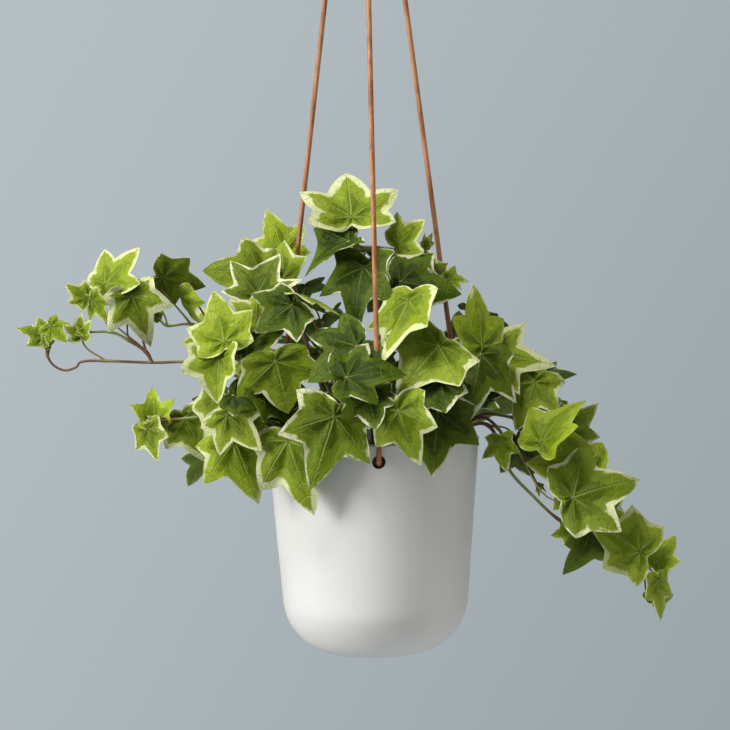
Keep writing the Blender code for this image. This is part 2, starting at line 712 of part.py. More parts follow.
def grow_ivy(material, fixed):
    """Grow every vine clear of the fixed pieces and of each other, one solid for each."""
    placed = [obstacle_of("", piece) for piece in fixed]
    stems = {}
    for name, vine in VINES.items():
        stems[name] = []
        for runner in vine.runners:
            points = runner_points(runner.route)
            radii = [(STEM + (STEM_TIP - STEM) * index / (len(points) - 1)) / 2 for index in range(len(points))]
            stem = tube_mesh(points, radii, 1)
            stems[name].append((points, stem))
            placed.append(obstacle_of(name, stem))
    for seed, (name, vine) in enumerate(VINES.items()):
        solids = [stem for points, stem in stems[name]]
        for runner, (points, stem) in zip(vine.runners, stems[name]):
            leaves = drawn_leaves(runner.leaves, vine.facing) or scattered_leaves(points, runner.leaf_count, seed)
            for leaf in leaves:
                join_to_stem(leaf, points)
                leaf = settled(leaf, name, placed)
                parts = leaf.solids()
                placed += [obstacle_of(name, part) for part in parts]
                solids += parts
        add_piece("ivy_" + name, combined(solids[0], solids[1:], "UNION"), material)


def evaluated_mesh(piece):
    """Return a piece's mesh as it looks, with its modifiers."""
    return bpy.data.meshes.new_from_object(piece.evaluated_get(bpy.context.evaluated_depsgraph_get()))


def main():
    """Build the whole object."""
    for item in list(bpy.data.objects):
        bpy.data.objects.remove(item)
    ceramic = finish("white_ceramic", (0.82, 0.82, 0.80), 0.4)
    soil = finish("potting_soil", (0.035, 0.02, 0.012), 0.95)
    leather = finish("tan_leather", (0.42, 0.16, 0.06), 0.55)
    green = finish("ivy_green", (0.10, 0.24, 0.03), 0.45)
    solid = [make_pot(ceramic), make_soil(soil)]
    for name, azimuth in zip(CORD_NAMES, HOLE_AZIMUTHS):
        solid.append(make_cord("cord_" + name, azimuth, leather))
        solid.append(make_stopper("stopper_knot_" + name, azimuth, leather))
    make_top_knot(leather)
    make_loop(leather)
    grow_ivy(green, [evaluated_mesh(piece) for piece in solid])


main()
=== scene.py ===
"""Potted ivy: the looks of a white hanging pot on leather cords, full of variegated ivy.

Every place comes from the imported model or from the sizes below, in metres and in its
frame: the origin is where a hook bears on the inside of the loop, and +Z is up.
"""

from __future__ import annotations

import json
import logging
from dataclasses import dataclass, field
from enum import Enum
from itertools import cycle
from math import atan, atan2, ceil, cos, degrees, pi, radians, sin, sqrt
from random import Random

import bmesh
import bpy
from mathutils import Euler, Matrix, Quaternion, Vector
from mathutils.bvhtree import BVHTree

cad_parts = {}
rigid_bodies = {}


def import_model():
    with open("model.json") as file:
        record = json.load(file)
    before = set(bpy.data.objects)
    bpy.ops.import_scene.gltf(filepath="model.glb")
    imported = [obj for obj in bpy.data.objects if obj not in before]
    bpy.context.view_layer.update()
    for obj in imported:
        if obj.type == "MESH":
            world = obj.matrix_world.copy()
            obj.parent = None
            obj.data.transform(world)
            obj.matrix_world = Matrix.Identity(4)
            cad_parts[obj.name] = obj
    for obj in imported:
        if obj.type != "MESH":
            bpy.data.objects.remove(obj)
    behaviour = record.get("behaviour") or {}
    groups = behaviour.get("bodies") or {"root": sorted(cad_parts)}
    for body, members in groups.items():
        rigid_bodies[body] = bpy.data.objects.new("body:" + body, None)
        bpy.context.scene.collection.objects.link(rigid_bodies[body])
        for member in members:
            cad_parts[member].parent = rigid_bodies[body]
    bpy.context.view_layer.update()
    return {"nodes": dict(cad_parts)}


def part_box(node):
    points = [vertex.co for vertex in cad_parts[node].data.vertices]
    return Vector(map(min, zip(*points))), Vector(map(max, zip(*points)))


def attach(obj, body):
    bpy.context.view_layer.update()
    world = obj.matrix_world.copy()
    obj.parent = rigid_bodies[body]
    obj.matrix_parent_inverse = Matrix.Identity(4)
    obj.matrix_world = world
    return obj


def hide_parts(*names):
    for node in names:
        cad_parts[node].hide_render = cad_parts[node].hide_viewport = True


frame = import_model()

LOG = logging.getLogger("potted_ivy")
MM = 0.001
ROOT = "root"
GAP = 0.3 * MM  # between pieces that touch

RIM_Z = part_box("pot")[1].z
BASE_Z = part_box("pot")[0].z
RIM_RADIUS = 67.5 * MM
POT_HEIGHT = RIM_Z - BASE_Z
TAPER = 8.2 * MM  # the wall comes in this much from the rim to the base
BASE_CORNER = 37 * MM
POT_WALL = 4 * MM
HOLE = 8.2 * MM
HOLE_DEPTH = 11 * MM
CORD = 3.2 * MM
CORDS_APART = 5.6 * MM
KNOT_BOTTOM, KNOT_TOP = (corner.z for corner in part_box("top_knot"))
KNOT_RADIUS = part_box("top_knot")[1].x
LOOP_HEIGHT = -KNOT_TOP
LOOP_WIDTH = 20 * MM
STOPPER_RADIUS = 5 * MM
SOIL_BELOW_RIM = 7 * MM

STEM = 2.8 * MM
STEM_TIP = 1.7 * MM
BLADE = 0.8 * MM
PLANT_RADIUS = 67.5 * MM
PLANT_LEAN = 0.9
LEAF_OUTLINE = ((0, 1.0), (27, 0.52), (53, 0.80), (108, 0.52))


@dataclass(frozen=True)
class Runner:
    """A stem's route, and its leaves: each as (stalk's end, tip, turn about the midrib in
    degrees, width), or only how many there are. A route that starts at FOOT is rooted, and
    any other starts on the first runner of its vine. Places are millimetres from the middle
    of the rim: x right, y away, z up.
    """

    route: tuple
    leaves: tuple = ()
    leaf_count: int = 0


@dataclass(frozen=True)
class Vine:
    """One rooted cutting: the way that its leaves face, and its runners."""

    facing: tuple
    runners: tuple


FOOT = (GAP - SOIL_BELOW_RIM) / MM  # height at which a stem leaves the soil
FRONT = (-0.1, -0.85, 0.5)
BACK = (0.1, 0.85, 0.5)
LEFT = (-0.35, -0.75, 0.55)
RIGHT = (0.35, -0.75, 0.55)

VINES = {
    "right_trailer": Vine(FRONT, (
        Runner((
            (44, -20, FOOT), (60, -24, 8), (72, -29, 9), (81, -32, -6), (86, -32, -20), (100, -33, -35),
            (115, -33, -49), (135, -31, -62), (155, -30, -74), (170, -29, -84), (178, -29, -100),
        ), (
            ((83, -34, 0), (85, -38, -20), 40, 1.0), ((124, -30, -58), (111, -28, -60), 0, 1.0),
            ((136, -34, -57), (125, -38, -86), -25, 1.0), ((145, -24, -47), (161, -20, -31), 30, 0.8),
            ((166, -38, -69), (133, -43, -48), 0, 1.0), ((178, -24, -78), (190, -22, -60), 20, 1.0),
            ((179, -27, -101), (190, -26, -84), 35, 1.0), ((178, -34, -88), (180, -36, -113), -50, 0.9),
        )),
    )),
    "right_short_trailer": Vine(FRONT, (
        Runner((
            (44, -12, FOOT), (58, -17, 9), (71, -21, 13), (84, -22, 0), (94, -23, -12), (104, -25, -30),
        ), (
            ((136, -32, -20), (97, -40, -12), 0, 1.0), ((123, -52, -34), (165, -50, -19), 0, 1.1),
            ((92, -18, -2), (104, -8, -28), 0, 1.0),
        )),
    )),
    "right_upper_trailer": Vine(RIGHT, (
        Runner((
            (50, -4, FOOT), (61, -7, 10), (72, -11, 15), (88, -13, 13), (101, -14, 12), (114, -14, 6),
        ), (
            ((102, -16, 36), (89, -26, 6), 10, 1.0), ((111, -10, 22), (116, -4, 54), 55, 1.0),
            ((105, -42, 0), (122, -38, 32), -52, 1.0), ((120, -15, 2), (139, -13, 25), 35, 1.0),
            ((118, -6, 4), (132, 8, -22), 0, 1.0),
        )),
    )),
    "right_crown": Vine(RIGHT, (
        Runner((
            (38, 6, FOOT), (50, 0, 22), (60, -6, 44), (70, -10, 54), (78, -12, 57),
        ), (
            ((67, -32, 54), (58, -56, 14), 25, 0.9), ((66, -26, 59), (61, -18, 97), 15, 0.95),
            ((71, -2, 72), (67, 4, 93), 60, 1.0), ((78, -18, 57), (119, -16, 58), 0, 1.05),
        )),
    )),
    "crown_right": Vine(FRONT, (
        Runner((
            (18, 0, FOOT), (21, 0, 40), (26, 2, 80), (32, 5, 108), (34, 7, 122),
        ), (
            ((17, -20, 99), (56, -22, 93), 0, 1.1), ((26, -6, 94), (11, -6, 123), 20, 0.9),
            ((44, 24, 100), (57, 30, 102), 0, 1.0), ((16, 4, 123), (33, -2, 138), 0, 1.2),
            ((36, 10, 104), (38, 16, 124), 30, 1.0),
        )),
    )),
    "crown_top": Vine(FRONT, (
        Runner((
            (-6, 6, FOOT), (-8, 6, 50), (-10, 6, 100), (-13, 4, 128),
        ), (
            ((-46, -38, 91), (-18, -44, 84), -60, 1.0), ((-6, -22, 108), (-18, -40, 70), 0, 0.9),
            ((-15, -12, 123), (-46, -14, 109), 20, 1.0), ((-14, -4, 140), (-17, 22, 172), 0, 1.15),
            ((-4, 16, 118), (8, 40, 128), 0, 1.0),
        )),
    )),
    "crown_left": Vine(FRONT, (
        Runner((
            (-22, 2, FOOT), (-36, 0, 40), (-50, -2, 80), (-60, -2, 104),
        ), (
            ((-64, -36, 91), (-55, -20, 119), 0, 1.15), ((-70, -12, 103), (-107, -14, 110), 0, 1.0),
            ((-58, 28, 117), (-69, 34, 146), 20, 1.0), ((-58, 10, 100), (-84, 24, 116), 0, 1.0),
        )),
    )),
    "left_runner": Vine(LEFT, (
        Runner((
            (-42, -8, FOOT), (-62, -14, 18), (-84, -18, 38), (-108, -20, 48), (-139, -20, 48),
            (-180, -18, 49), (-187, -18, 45), (-194, -18, 43), (-201, -18, 46), (-205, -18, 52),
            (-206, -18, 60),
        ), (
            ((-184, -18, 65), (-186, -15, 81), 20, 0.9), ((-203, -20, 71), (-192, -22, 61), 0, 1.0),
            ((-206, -18, 66), (-223, -20, 73), 0, 1.0),
        )),
        Runner((
            (-139, -20, 48), (-143, -20, 55), (-154, -19, 62), (-165, -18, 67), (-182, -18, 67),
        ), (
            ((-151, -28, 90), (-139, -32, 60), 0, 1.0), ((-153, -22, 84), (-142, -26, 103), 10, 1.1),
            ((-167, -18, 96), (-145, -16, 119), 0, 1.0), ((-176, -22, 88), (-165, -24, 71), 50, 0.9),
            ((-181, -18, 88), (-194, -18, 97), 10, 1.0),
        )),
    )),
    "left_crown": Vine(LEFT, (
        Runner((
            (-38, 2, FOOT), (-62, -2, 26), (-84, -6, 52), (-100, -10, 66), (-115, -13, 72), (-130, -14, 71),
            (-136, -14, 77),
        ), (
            ((-100, -2, 60), (-112, 14, 84), 0, 1.0), ((-121, -16, 90), (-113, -20, 68), 35, 0.9),
            ((-134, -20, 101), (-106, -18, 95), 55, 0.9), ((-137, -14, 84), (-146, -12, 90), 0, 1.0),
        )),
    )),
    "left_low_spray": Vine(LEFT, (
        Runner((
            (-42, -20, FOOT), (-58, -32, 6), (-78, -38, 14), (-104, -37, 15), (-126, -36, 13),
            (-136, -35, 12),
        ), (
            ((-99, -44, 26), (-109, -48, 4), 0, 1.0), ((-119, -38, 15), (-106, -44, -13), 0, 1.0),
            ((-137, -34, 13), (-140, -30, 35), 10, 0.9), ((-141, -36, 8), (-134, -40, -13), 15, 0.9),
        )),
    )),
    "front_left": Vine(LEFT, (
        Runner((
            (-30, -30, FOOT), (-46, -44, 12), (-62, -50, 28), (-78, -50, 44), (-87, -46, 60),
        ), (
            ((-86, -52, 1), (-71, -63, -35), 0, 1.1), ((-90, -60, 18), (-68, -68, -4), 10, 1.0),
            ((-86, -58, 28), (-69, -62, 20), 0, 1.1), ((-72, -54, 35), (-50, -64, 9), 0, 1.0),
            ((-95, -50, 53), (-98, -57, 25), 0, 1.1), ((-78, -54, 57), (-55, -52, 73), 0, 1.0),
            ((-92, -54, 63), (-99, -46, 94), 0, 1.15), ((-72, -44, 78), (-90, -40, 88), 20, 1.0),
        )),
    )),
    "front_centre": Vine(FRONT, (
        Runner((
            (-10, -34, FOOT), (-18, -50, 14), (-28, -56, 34), (-42, -54, 54),
        ), (
            ((-52, -64, 2), (-38, -78, -41), 20, 0.9), ((-24, -74, 18), (-38, -84, -26), -10, 1.0),
            ((-10, -60, 60), (-40, -68, 38), 0, 1.1), ((-62, -60, 51), (-55, -70, 20), 0, 1.3),
            ((-48, -44, 85), (-72, -48, 68), 0, 1.1),
        )),
    )),
    "front_right": Vine(FRONT, (
        Runner((
            (14, -34, FOOT), (18, -50, 14), (26, -56, 34), (36, -52, 54),
        ), (
            ((15, -82, 22), (25, -87, -12), 25, 0.9), ((36, -66, 20), (29, -78, -19), 0, 1.1),
            ((-4, -74, 30), (3, -81, 6), 0, 1.2), ((41, -60, 36), (16, -72, 19), 0, 1.1),
            ((-14, -68, 36), (20, -72, 44), 0, 1.0), ((40, -58, 60), (15, -69, 29), 0, 1.2),
            ((23, -50, 88), (-4, -68, 56), 45, 0.9),
        )),
    )),
    "heart_middle": Vine(FRONT, (
        Runner((
            (0, -14, FOOT), (0, -22, 22), (2, -28, 44), (6, -30, 64),
        ), leaf_count=4),
    )),
    "heart_left": Vine(FRONT, (
        Runner((
            (-30, -12, FOOT), (-42, -20, 24), (-50, -24, 50),
        ), leaf_count=5),
    )),
    "heart_right": Vine(FRONT, (
        Runner((
            (34, -18, FOOT), (46, -30, 18), (54, -36, 34),
        ), leaf_count=3),
    )),
    "back_left_trailer": Vine(BACK, (
        Runner((
            (-26, 28, FOOT), (-40, 46, 12), (-58, 62, 28), (-78, 76, 22), (-92, 84, 0), (-98, 88, -26),
        ), leaf_count=6),
    )),
    "back_left_crown": Vine(BACK, (
        Runner((
            (-36, 14, FOOT), (-54, 19, 24), (-78, 28, 44), (-100, 38, 50),
        ), leaf_count=5),
    )),
    "back_centre_trailer": Vine(BACK, (
        Runner((
            (0, 32, FOOT), (0, 50, 14), (4, 70, 20), (7, 84, 2), (6, 90, -26), (2, 92, -52),
        ), leaf_count=6),
    )),
    "back_centre_crown": Vine(BACK, (
        Runner((
            (-12, 26, FOOT), (-16, 40, 26), (-24, 54, 44), (-34, 66, 50),
        ), leaf_count=6),
    )),
    "back_right_trailer": Vine(BACK, (
        Runner((
            (26, 28, FOOT), (40, 46, 12), (60, 60, 30), (82, 70, 30), (100, 76, 16), (112, 80, -6),
        ), leaf_count=6),
    )),
    "back_right_crown": Vine(BACK, (
        Runner((
            (16, 26, FOOT), (24, 42, 28), (34, 54, 48), (46, 62, 58),
        ), leaf_count=5),
    )),
    "right_side": Vine(RIGHT, (
        Runner((
            (44, 12, FOOT), (60, 20, 14), (78, 26, 26), (96, 30, 22), (110, 32, 6),
        ), leaf_count=5),
    )),
    "crown_back": Vine(BACK, (
        Runner((
            (4, 14, FOOT), (6, 22, 46), (10, 30, 82), (16, 38, 102),
        ), leaf_count=5),
    )),
    "crown_back_left": Vine(BACK, (
        Runner((
            (-16, 14, FOOT), (-28, 24, 44), (-40, 32, 76), (-52, 38, 92),
        ), leaf_count=6),
    )),
    "crown_back_right": Vine(BACK, (
        Runner((
            (22, 12, FOOT), (38, 20, 36), (54, 26, 62), (68, 30, 74),
        ), leaf_count=4),
    )),
}


class Tone(Enum):
    """How a leaf is coloured: its age from lime to dark green, taken darker still as painted shade on the
    shade and mature leaves inside the bush, and how wide its cream margin runs.
    """

    YOUNG = (0.10, 0.40)
    MIXED = (0.45, 0.42)
    MATURE = (0.78, 0.34)
    SHADE = (1.0, 0.22)
    PALE = (0.42, 0.78)


# Painted shade: the shade tone, and the mature tone in part, darken the leaves inside and in the middle of
# the bush; the young and pale tones set on the left and right are partly painted light.
TONES = {  # for each cutting, its leaves' tones by turns
    "right_trailer": "mixed mixed mature mixed young young young young",
    "right_short_trailer": "young mature shade",
    "right_upper_trailer": "mixed young young mixed pale",
    "right_crown": "mature young mature pale",
    "crown_right": "shade mature young young mature",
    "crown_top": "young shade shade pale mature",
    "crown_left": "mature mixed young mixed",
    "left_runner": "pale young mixed pale young mixed young pale",
    "left_crown": "young young mixed pale",
    "left_low_spray": "pale pale young pale",
    "front_left": "young pale shade shade mixed mature young young",
    "front_centre": "pale mature shade mixed shade",
    "front_right": "mixed shade shade shade shade mixed pale",
    "heart_middle": "shade", "heart_left": "shade mature", "heart_right": "shade",
    "crown_back_right": "mature shade", "right_side": "mature young shade",
}
OTHER_TONES = "mixed mature young mature shade"


def smooth_points(route: list[Vector], spacing: float) -> list[Vector]:
    """Run a smooth curve through a route's points.

    Args:
        route: the points to pass through.
        spacing: the distance between the points that come back.

    Returns:
        Points along the curve.
    """
    ends = [2 * route[0] - route[1], *route, 2 * route[-1] - route[-2]]
    points = [route[0].copy()]
    for before, start, end, after in zip(ends, ends[1:], ends[2:], ends[3:]):
        steps = max(1, ceil((end - start).length / spacing))
        for step in range(1, steps + 1):
            t = step / steps
            points.append(0.5 * (2 * start + (end - before) * t
                                 + (2 * before - 5 * start + 4 * end - after) * t * t
                                 + (3 * start - before - 3 * end + after) * t * t * t))
    return points


def in_scene(name: str, data: bpy.types.ID) -> bpy.types.Object:
    """Make an object of some data and link it to the scene."""
    made = bpy.data.objects.new(name, data)
    bpy.context.scene.collection.objects.link(made)
    return made


def curve_of(name: str, points: list[Vector], radii: list[float], resolution: int,
             closed: bool = False) -> bpy.types.Object:
    """Make a round bevelled curve along points.

    Args:
        name: the object's name.
        points: the middle line.
        radii: the radius at each point.
        resolution: how round the section is.
        closed: whether the end joins the start.

    Returns:
        The curve object, linked to the scene.
    """
    curve = bpy.data.curves.new(name, "CURVE")
    curve.dimensions = "3D"
    curve.bevel_depth = radii[0]
    curve.bevel_resolution = resolution
    curve.use_fill_caps = not closed
    spline = curve.splines.new("POLY")
    spline.points.add(len(points) - 1)
    spline.use_cyclic_u = closed
    for knot, point, radius in zip(spline.points, points, radii):
        knot.co = (*point, 1.0)
        knot.radius = radius / radii[0]
    return in_scene(name, curve)


def mesh_from(piece: bpy.types.Object) -> bpy.types.Mesh:
    """Turn an object into a mesh as it looks with its modifiers, and remove the object."""
    mesh = bpy.data.meshes.new_from_object(piece.evaluated_get(bpy.context.evaluated_depsgraph_get()))
    bpy.data.objects.remove(piece)
    return mesh


def add_piece(name: str, mesh: bpy.types.Mesh, materials: list[bpy.types.Material],
              sharp: float = 40) -> bpy.types.Object:
    """Put a finished mesh in the scene as a piece on the root body.

    Args:
        name: the piece's name.
        mesh: its mesh, in place.
        materials: its materials, in the order of its faces' numbers.
        sharp: edges over this many degrees stay crisp.

    Returns:
        The piece.
    """
    mesh.name = name
    if mesh.materials:
        mesh.materials.clear()
    for material in materials:
        mesh.materials.append(material)
    mesh.shade_smooth()
    mesh.set_sharp_from_angle(angle=radians(sharp))
    piece = in_scene(name, mesh)
    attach(piece, ROOT)
    return piece


def arc(centre_radius: float, centre_height: float, radius: float, first: float, last: float,
        steps: int) -> list[tuple[float, float]]:
    """Return a profile's round corner; the angles are degrees from straight out."""
    angles = [radians(first + (last - first) * step / steps) for step in range(steps + 1)]
    return [(centre_radius + radius * cos(a), centre_height + radius * sin(a)) for a in angles]


def turned(profile: list[tuple[float, float]], segments: int) -> bmesh.types.BMesh:
    """Spin a profile of (radius, height) about Z into a closed shell."""
    shape = bmesh.new()
    corners = [shape.verts.new((radius, 0, height)) for radius, height in profile]
    edges = [shape.edges.new(pair) for pair in zip(corners, corners[1:])]
    bmesh.ops.spin(shape, geom=corners + edges, axis=(0, 0, 1), cent=(0, 0, 0), angle=2 * pi,
                   steps=segments, use_merge=True)
    bmesh.ops.remove_doubles(shape, verts=shape.verts, dist=0.01 * MM)
    bmesh.ops.recalc_face_normals(shape, faces=shape.faces)
    return shape


def mesh_of(shape: bmesh.types.BMesh, name: str) -> bpy.types.Mesh:
    """Write a bmesh into a new mesh and free it."""
    mesh = bpy.data.meshes.new(name)
    shape.to_mesh(mesh)
    shape.free()
    return mesh


class Graph:
    """A material's or a node group's tree, with one short method for each kind of node."""

    def __init__(self, tree: bpy.types.NodeTree) -> None:
        """Keep the tree that the nodes go into."""
        self.tree = tree

    def node(self, kind: str, **settings: object) -> bpy.types.Node:
        """Add a node and set its properties."""
        node = self.tree.nodes.new("ShaderNode" + kind)
        for name, value in settings.items():
            setattr(node, name, value)
        return node

    def feed(self, socket: bpy.types.NodeSocket, value: object) -> None:
        """Link a socket or set a value on an input."""
        if isinstance(value, bpy.types.NodeSocket):
            self.tree.links.new(value, socket)
        else:
            socket.default_value = value

    def math(self, operation: str, *values: object, clamp: bool = False) -> bpy.types.NodeSocket:
        """Do arithmetic on sockets and numbers."""
        node = self.node("Math", operation=operation, use_clamp=clamp)
        for socket, value in zip(node.inputs, values):
            self.feed(socket, value)
        return node.outputs[0]

    def add(self, first: object, second: object) -> bpy.types.NodeSocket:
        """Add two values."""
        return self.math("ADD", first, second)

    def less(self, first: object, second: object) -> bpy.types.NodeSocket:
        """Take the second value from the first."""
        return self.math("SUBTRACT", first, second)

    def times(self, first: object, second: object) -> bpy.types.NodeSocket:
        """Multiply two values."""
        return self.math("MULTIPLY", first, second)

    def ramp(self, value: object, low: object, high: object, start: float = 0.0,
             end: float = 1.0) -> bpy.types.NodeSocket:
        """Map low to high smoothly onto start to end."""
        node = self.node("MapRange", interpolation_type="SMOOTHSTEP")
        names = ("Value", "From Min", "From Max", "To Min", "To Max")
        for name, given in zip(names, (value, low, high, start, end)):
            self.feed(node.inputs[name], given)
        return node.outputs["Result"]

    def mix(self, factor: object, first: object, second: object, blend: str = "MIX") -> bpy.types.NodeSocket:
        """Blend two colours."""
        node = self.node("Mix", data_type="RGBA", blend_type=blend)
        for index, value in zip((0, 6, 7), (factor, first, second)):
            if isinstance(value, tuple) and len(value) == 3:
                value = (*value, 1.0)
            self.feed(node.inputs[index], value)
        return node.outputs[2]

    def noise(self, vector: bpy.types.NodeSocket, scale: float, detail: float = 2.0) -> bpy.types.NodeSocket:
        """Sample fractal noise between 0 and 1."""
        node = self.node("TexNoise")
        self.feed(node.inputs["Vector"], vector)
        node.inputs["Scale"].default_value = scale
        node.inputs["Detail"].default_value = detail
        return node.outputs["Fac"]

    def bump(self, height: bpy.types.NodeSocket, strength: float, distance: float) -> bpy.types.NodeSocket:
        """Turn a height in 0 to 1 into a normal."""
        node = self.node("Bump")
        node.inputs["Strength"].default_value = strength
        node.inputs["Distance"].default_value = distance
        self.feed(node.inputs["Height"], height)
        return node.outputs["Normal"]

    def dress(self, shader: bpy.types.Node, colour: object, roughness: object, normal: object) -> None:
        """Give a shader its colour, roughness and normal."""
        self.feed(shader.inputs["Base Color"], colour)
        self.feed(shader.inputs["Roughness"], roughness)
        self.feed(shader.inputs["Normal"], normal)


def new_material(name: str) -> tuple[bpy.types.Material, Graph, bpy.types.Node]:
    """Start a material; returns it with its graph and its Principled BSDF."""
    material = bpy.data.materials.new(name)
    material.use_nodes = True
    return material, Graph(material.node_tree), material.node_tree.nodes["Principled BSDF"]


def grain_group() -> bpy.types.NodeTree:
    """Build the shared group of two noises, one coarse and one fine, read on Object coordinates."""
    group = bpy.data.node_groups.new("Grain", "ShaderNodeTree")
    for name, default in (("Stretch", (1.0, 1.0, 1.0)), ("Coarse", 60.0), ("Fine", 600.0)):
        kind = "NodeSocketVector" if name == "Stretch" else "NodeSocketFloat"
        group.interface.new_socket(name, in_out="INPUT", socket_type=kind).default_value = default
    for name in ("Coarse", "Fine"):
        group.interface.new_socket(name, in_out="OUTPUT", socket_type="NodeSocketFloat")
    graph = Graph(group)
    entry = group.nodes.new("NodeGroupInput")
    leaving = group.nodes.new("NodeGroupOutput")
    place = graph.node("VectorMath", operation="MULTIPLY")
    graph.feed(place.inputs[0], graph.node("TexCoord").outputs["Object"])
    graph.feed(place.inputs[1], entry.outputs["Stretch"])
    for name, detail in (("Coarse", 3.0), ("Fine", 4.0)):
        noise = graph.node("TexNoise")
        graph.feed(noise.inputs["Vector"], place.outputs[0])
        graph.feed(noise.inputs["Scale"], entry.outputs[name])
        noise.inputs["Detail"].default_value = detail
        graph.feed(leaving.inputs[name], noise.outputs["Fac"])
    return group


@dataclass(frozen=True)
class Finishes:
    """Every finish on the object."""

    grain: bpy.types.NodeTree

    def grained(self, graph: Graph, stretch: tuple, coarse: float, fine: float) -> bpy.types.Node:
        """Place the shared grain in a material."""
        node = graph.node("Group", node_tree=self.grain)
        node.inputs["Stretch"].default_value = stretch
        node.inputs["Coarse"].default_value = coarse
        node.inputs["Fine"].default_value = fine
        return node

    def ceramic(self) -> bpy.types.Material:
        """Satin white glaze with a faint unevenness, bare clay on the foot."""
        material, graph, shader = new_material("white_glaze")
        grain = self.grained(graph, (1.0, 1.0, 1.0), 22.0, 900.0)
        place = graph.node("SeparateXYZ")
        graph.feed(place.inputs[0], graph.node("TexCoord").outputs["Object"])
        level = graph.add(place.outputs["Z"], graph.times(grain.outputs["Coarse"], 0.4 * MM))
        foot = graph.ramp(level, BASE_Z + 0.5 * MM, BASE_Z + 0.9 * MM, 1.0, 0.0)
        rings = graph.math("SINE", graph.times(place.outputs["Z"], 2 * pi / (9 * MM)))
        glaze = graph.mix(grain.outputs["Coarse"], (0.80, 0.795, 0.775), (0.835, 0.83, 0.815))
        dots = graph.noise(graph.node("TexCoord").outputs["Object"], 700.0, 0.0)
        speck = graph.ramp(dots, 0.80, 0.84, 0.0, 0.35)
        glaze = graph.mix(speck, glaze, (0.60, 0.57, 0.52))
        sheen = graph.ramp(grain.outputs["Coarse"], 0.3, 0.7, 0.36, 0.46)
        ripple = graph.add(grain.outputs["Coarse"], graph.times(grain.outputs["Fine"], 0.05))
        height = graph.add(graph.times(rings, 0.10), ripple)
        graph.dress(shader, graph.mix(foot, glaze, (0.62, 0.56, 0.48)),
                    graph.add(sheen, graph.times(foot, 0.4)),
                    graph.bump(height, 0.35, 0.6 * MM))
        return material

    def soil(self) -> bpy.types.Material:
        """Damp potting mix: crumbs of peat with lighter fibres."""
        material, graph, shader = new_material("potting_mix")
        grain = self.grained(graph, (1.0, 1.0, 1.0), 140.0, 900.0)
        crumbs = graph.mix(graph.ramp(grain.outputs["Coarse"], 0.35, 0.65),
                           (0.020, 0.012, 0.007), (0.085, 0.048, 0.026))
        fibres = graph.ramp(grain.outputs["Fine"], 0.62, 0.72)
        graph.dress(shader, graph.mix(fibres, crumbs, (0.20, 0.13, 0.08)),
                    graph.ramp(grain.outputs["Coarse"], 0.3, 0.7, 0.75, 0.95),
                    graph.bump(grain.outputs["Fine"], 0.9, 1.2 * MM))
        return material

    def leather(self) -> bpy.types.Material:
        """Tan leather cord: fibres along it, fine cracks and a worn sheen."""
        material, graph, shader = new_material("tan_leather")
        grain = self.grained(graph, (1.0, 1.0, 0.12), 420.0, 1800.0)
        wear = self.grained(graph, (1.0, 1.0, 1.0), 45.0, 260.0)
        tan = graph.mix(graph.ramp(grain.outputs["Coarse"], 0.3, 0.7),
                        (0.27, 0.095, 0.032), (0.50, 0.215, 0.088))
        tan = graph.mix(graph.ramp(wear.outputs["Coarse"], 0.45, 0.75, 0.0, 0.45), tan, (0.60, 0.31, 0.16))
        tan = graph.mix(graph.ramp(wear.outputs["Fine"], 0.55, 0.75, 0.0, 0.5), tan, (0.20, 0.065, 0.022))
        height = graph.add(grain.outputs["Coarse"], graph.times(grain.outputs["Fine"], 0.6))
        graph.dress(shader, tan, graph.ramp(grain.outputs["Coarse"], 0.3, 0.7, 0.62, 0.45),
                    graph.bump(height, 0.6, 0.35 * MM))
        return material

    def bark(self, name: str, dark: tuple, light: tuple) -> bpy.types.Material:
        """Wood chips and perlite grains in the soil."""
        material, graph, shader = new_material(name)
        grain = self.grained(graph, (1.0, 1.0, 1.0), 300.0, 1500.0)
        graph.dress(shader, graph.mix(grain.outputs["Coarse"], dark, light), 0.9,
                    graph.bump(grain.outputs["Fine"], 0.6, 0.4 * MM))
        return material

    def stem(self) -> bpy.types.Material:
        """Ivy stem: olive green with a red-brown flush and short ridges."""
        material, graph, shader = new_material("ivy_stem")
        grain = self.grained(graph, (1.0, 1.0, 1.0), 38.0, 700.0)
        flush = graph.ramp(grain.outputs["Coarse"], 0.38, 0.62)
        green = graph.mix(grain.outputs["Fine"], (0.17, 0.23, 0.05), (0.33, 0.38, 0.12))
        graph.dress(shader, graph.mix(flush, green, (0.15, 0.065, 0.035)),
                    graph.ramp(grain.outputs["Fine"], 0.3, 0.7, 0.45, 0.6),
                    graph.bump(grain.outputs["Fine"], 0.5, 0.3 * MM))
        return material

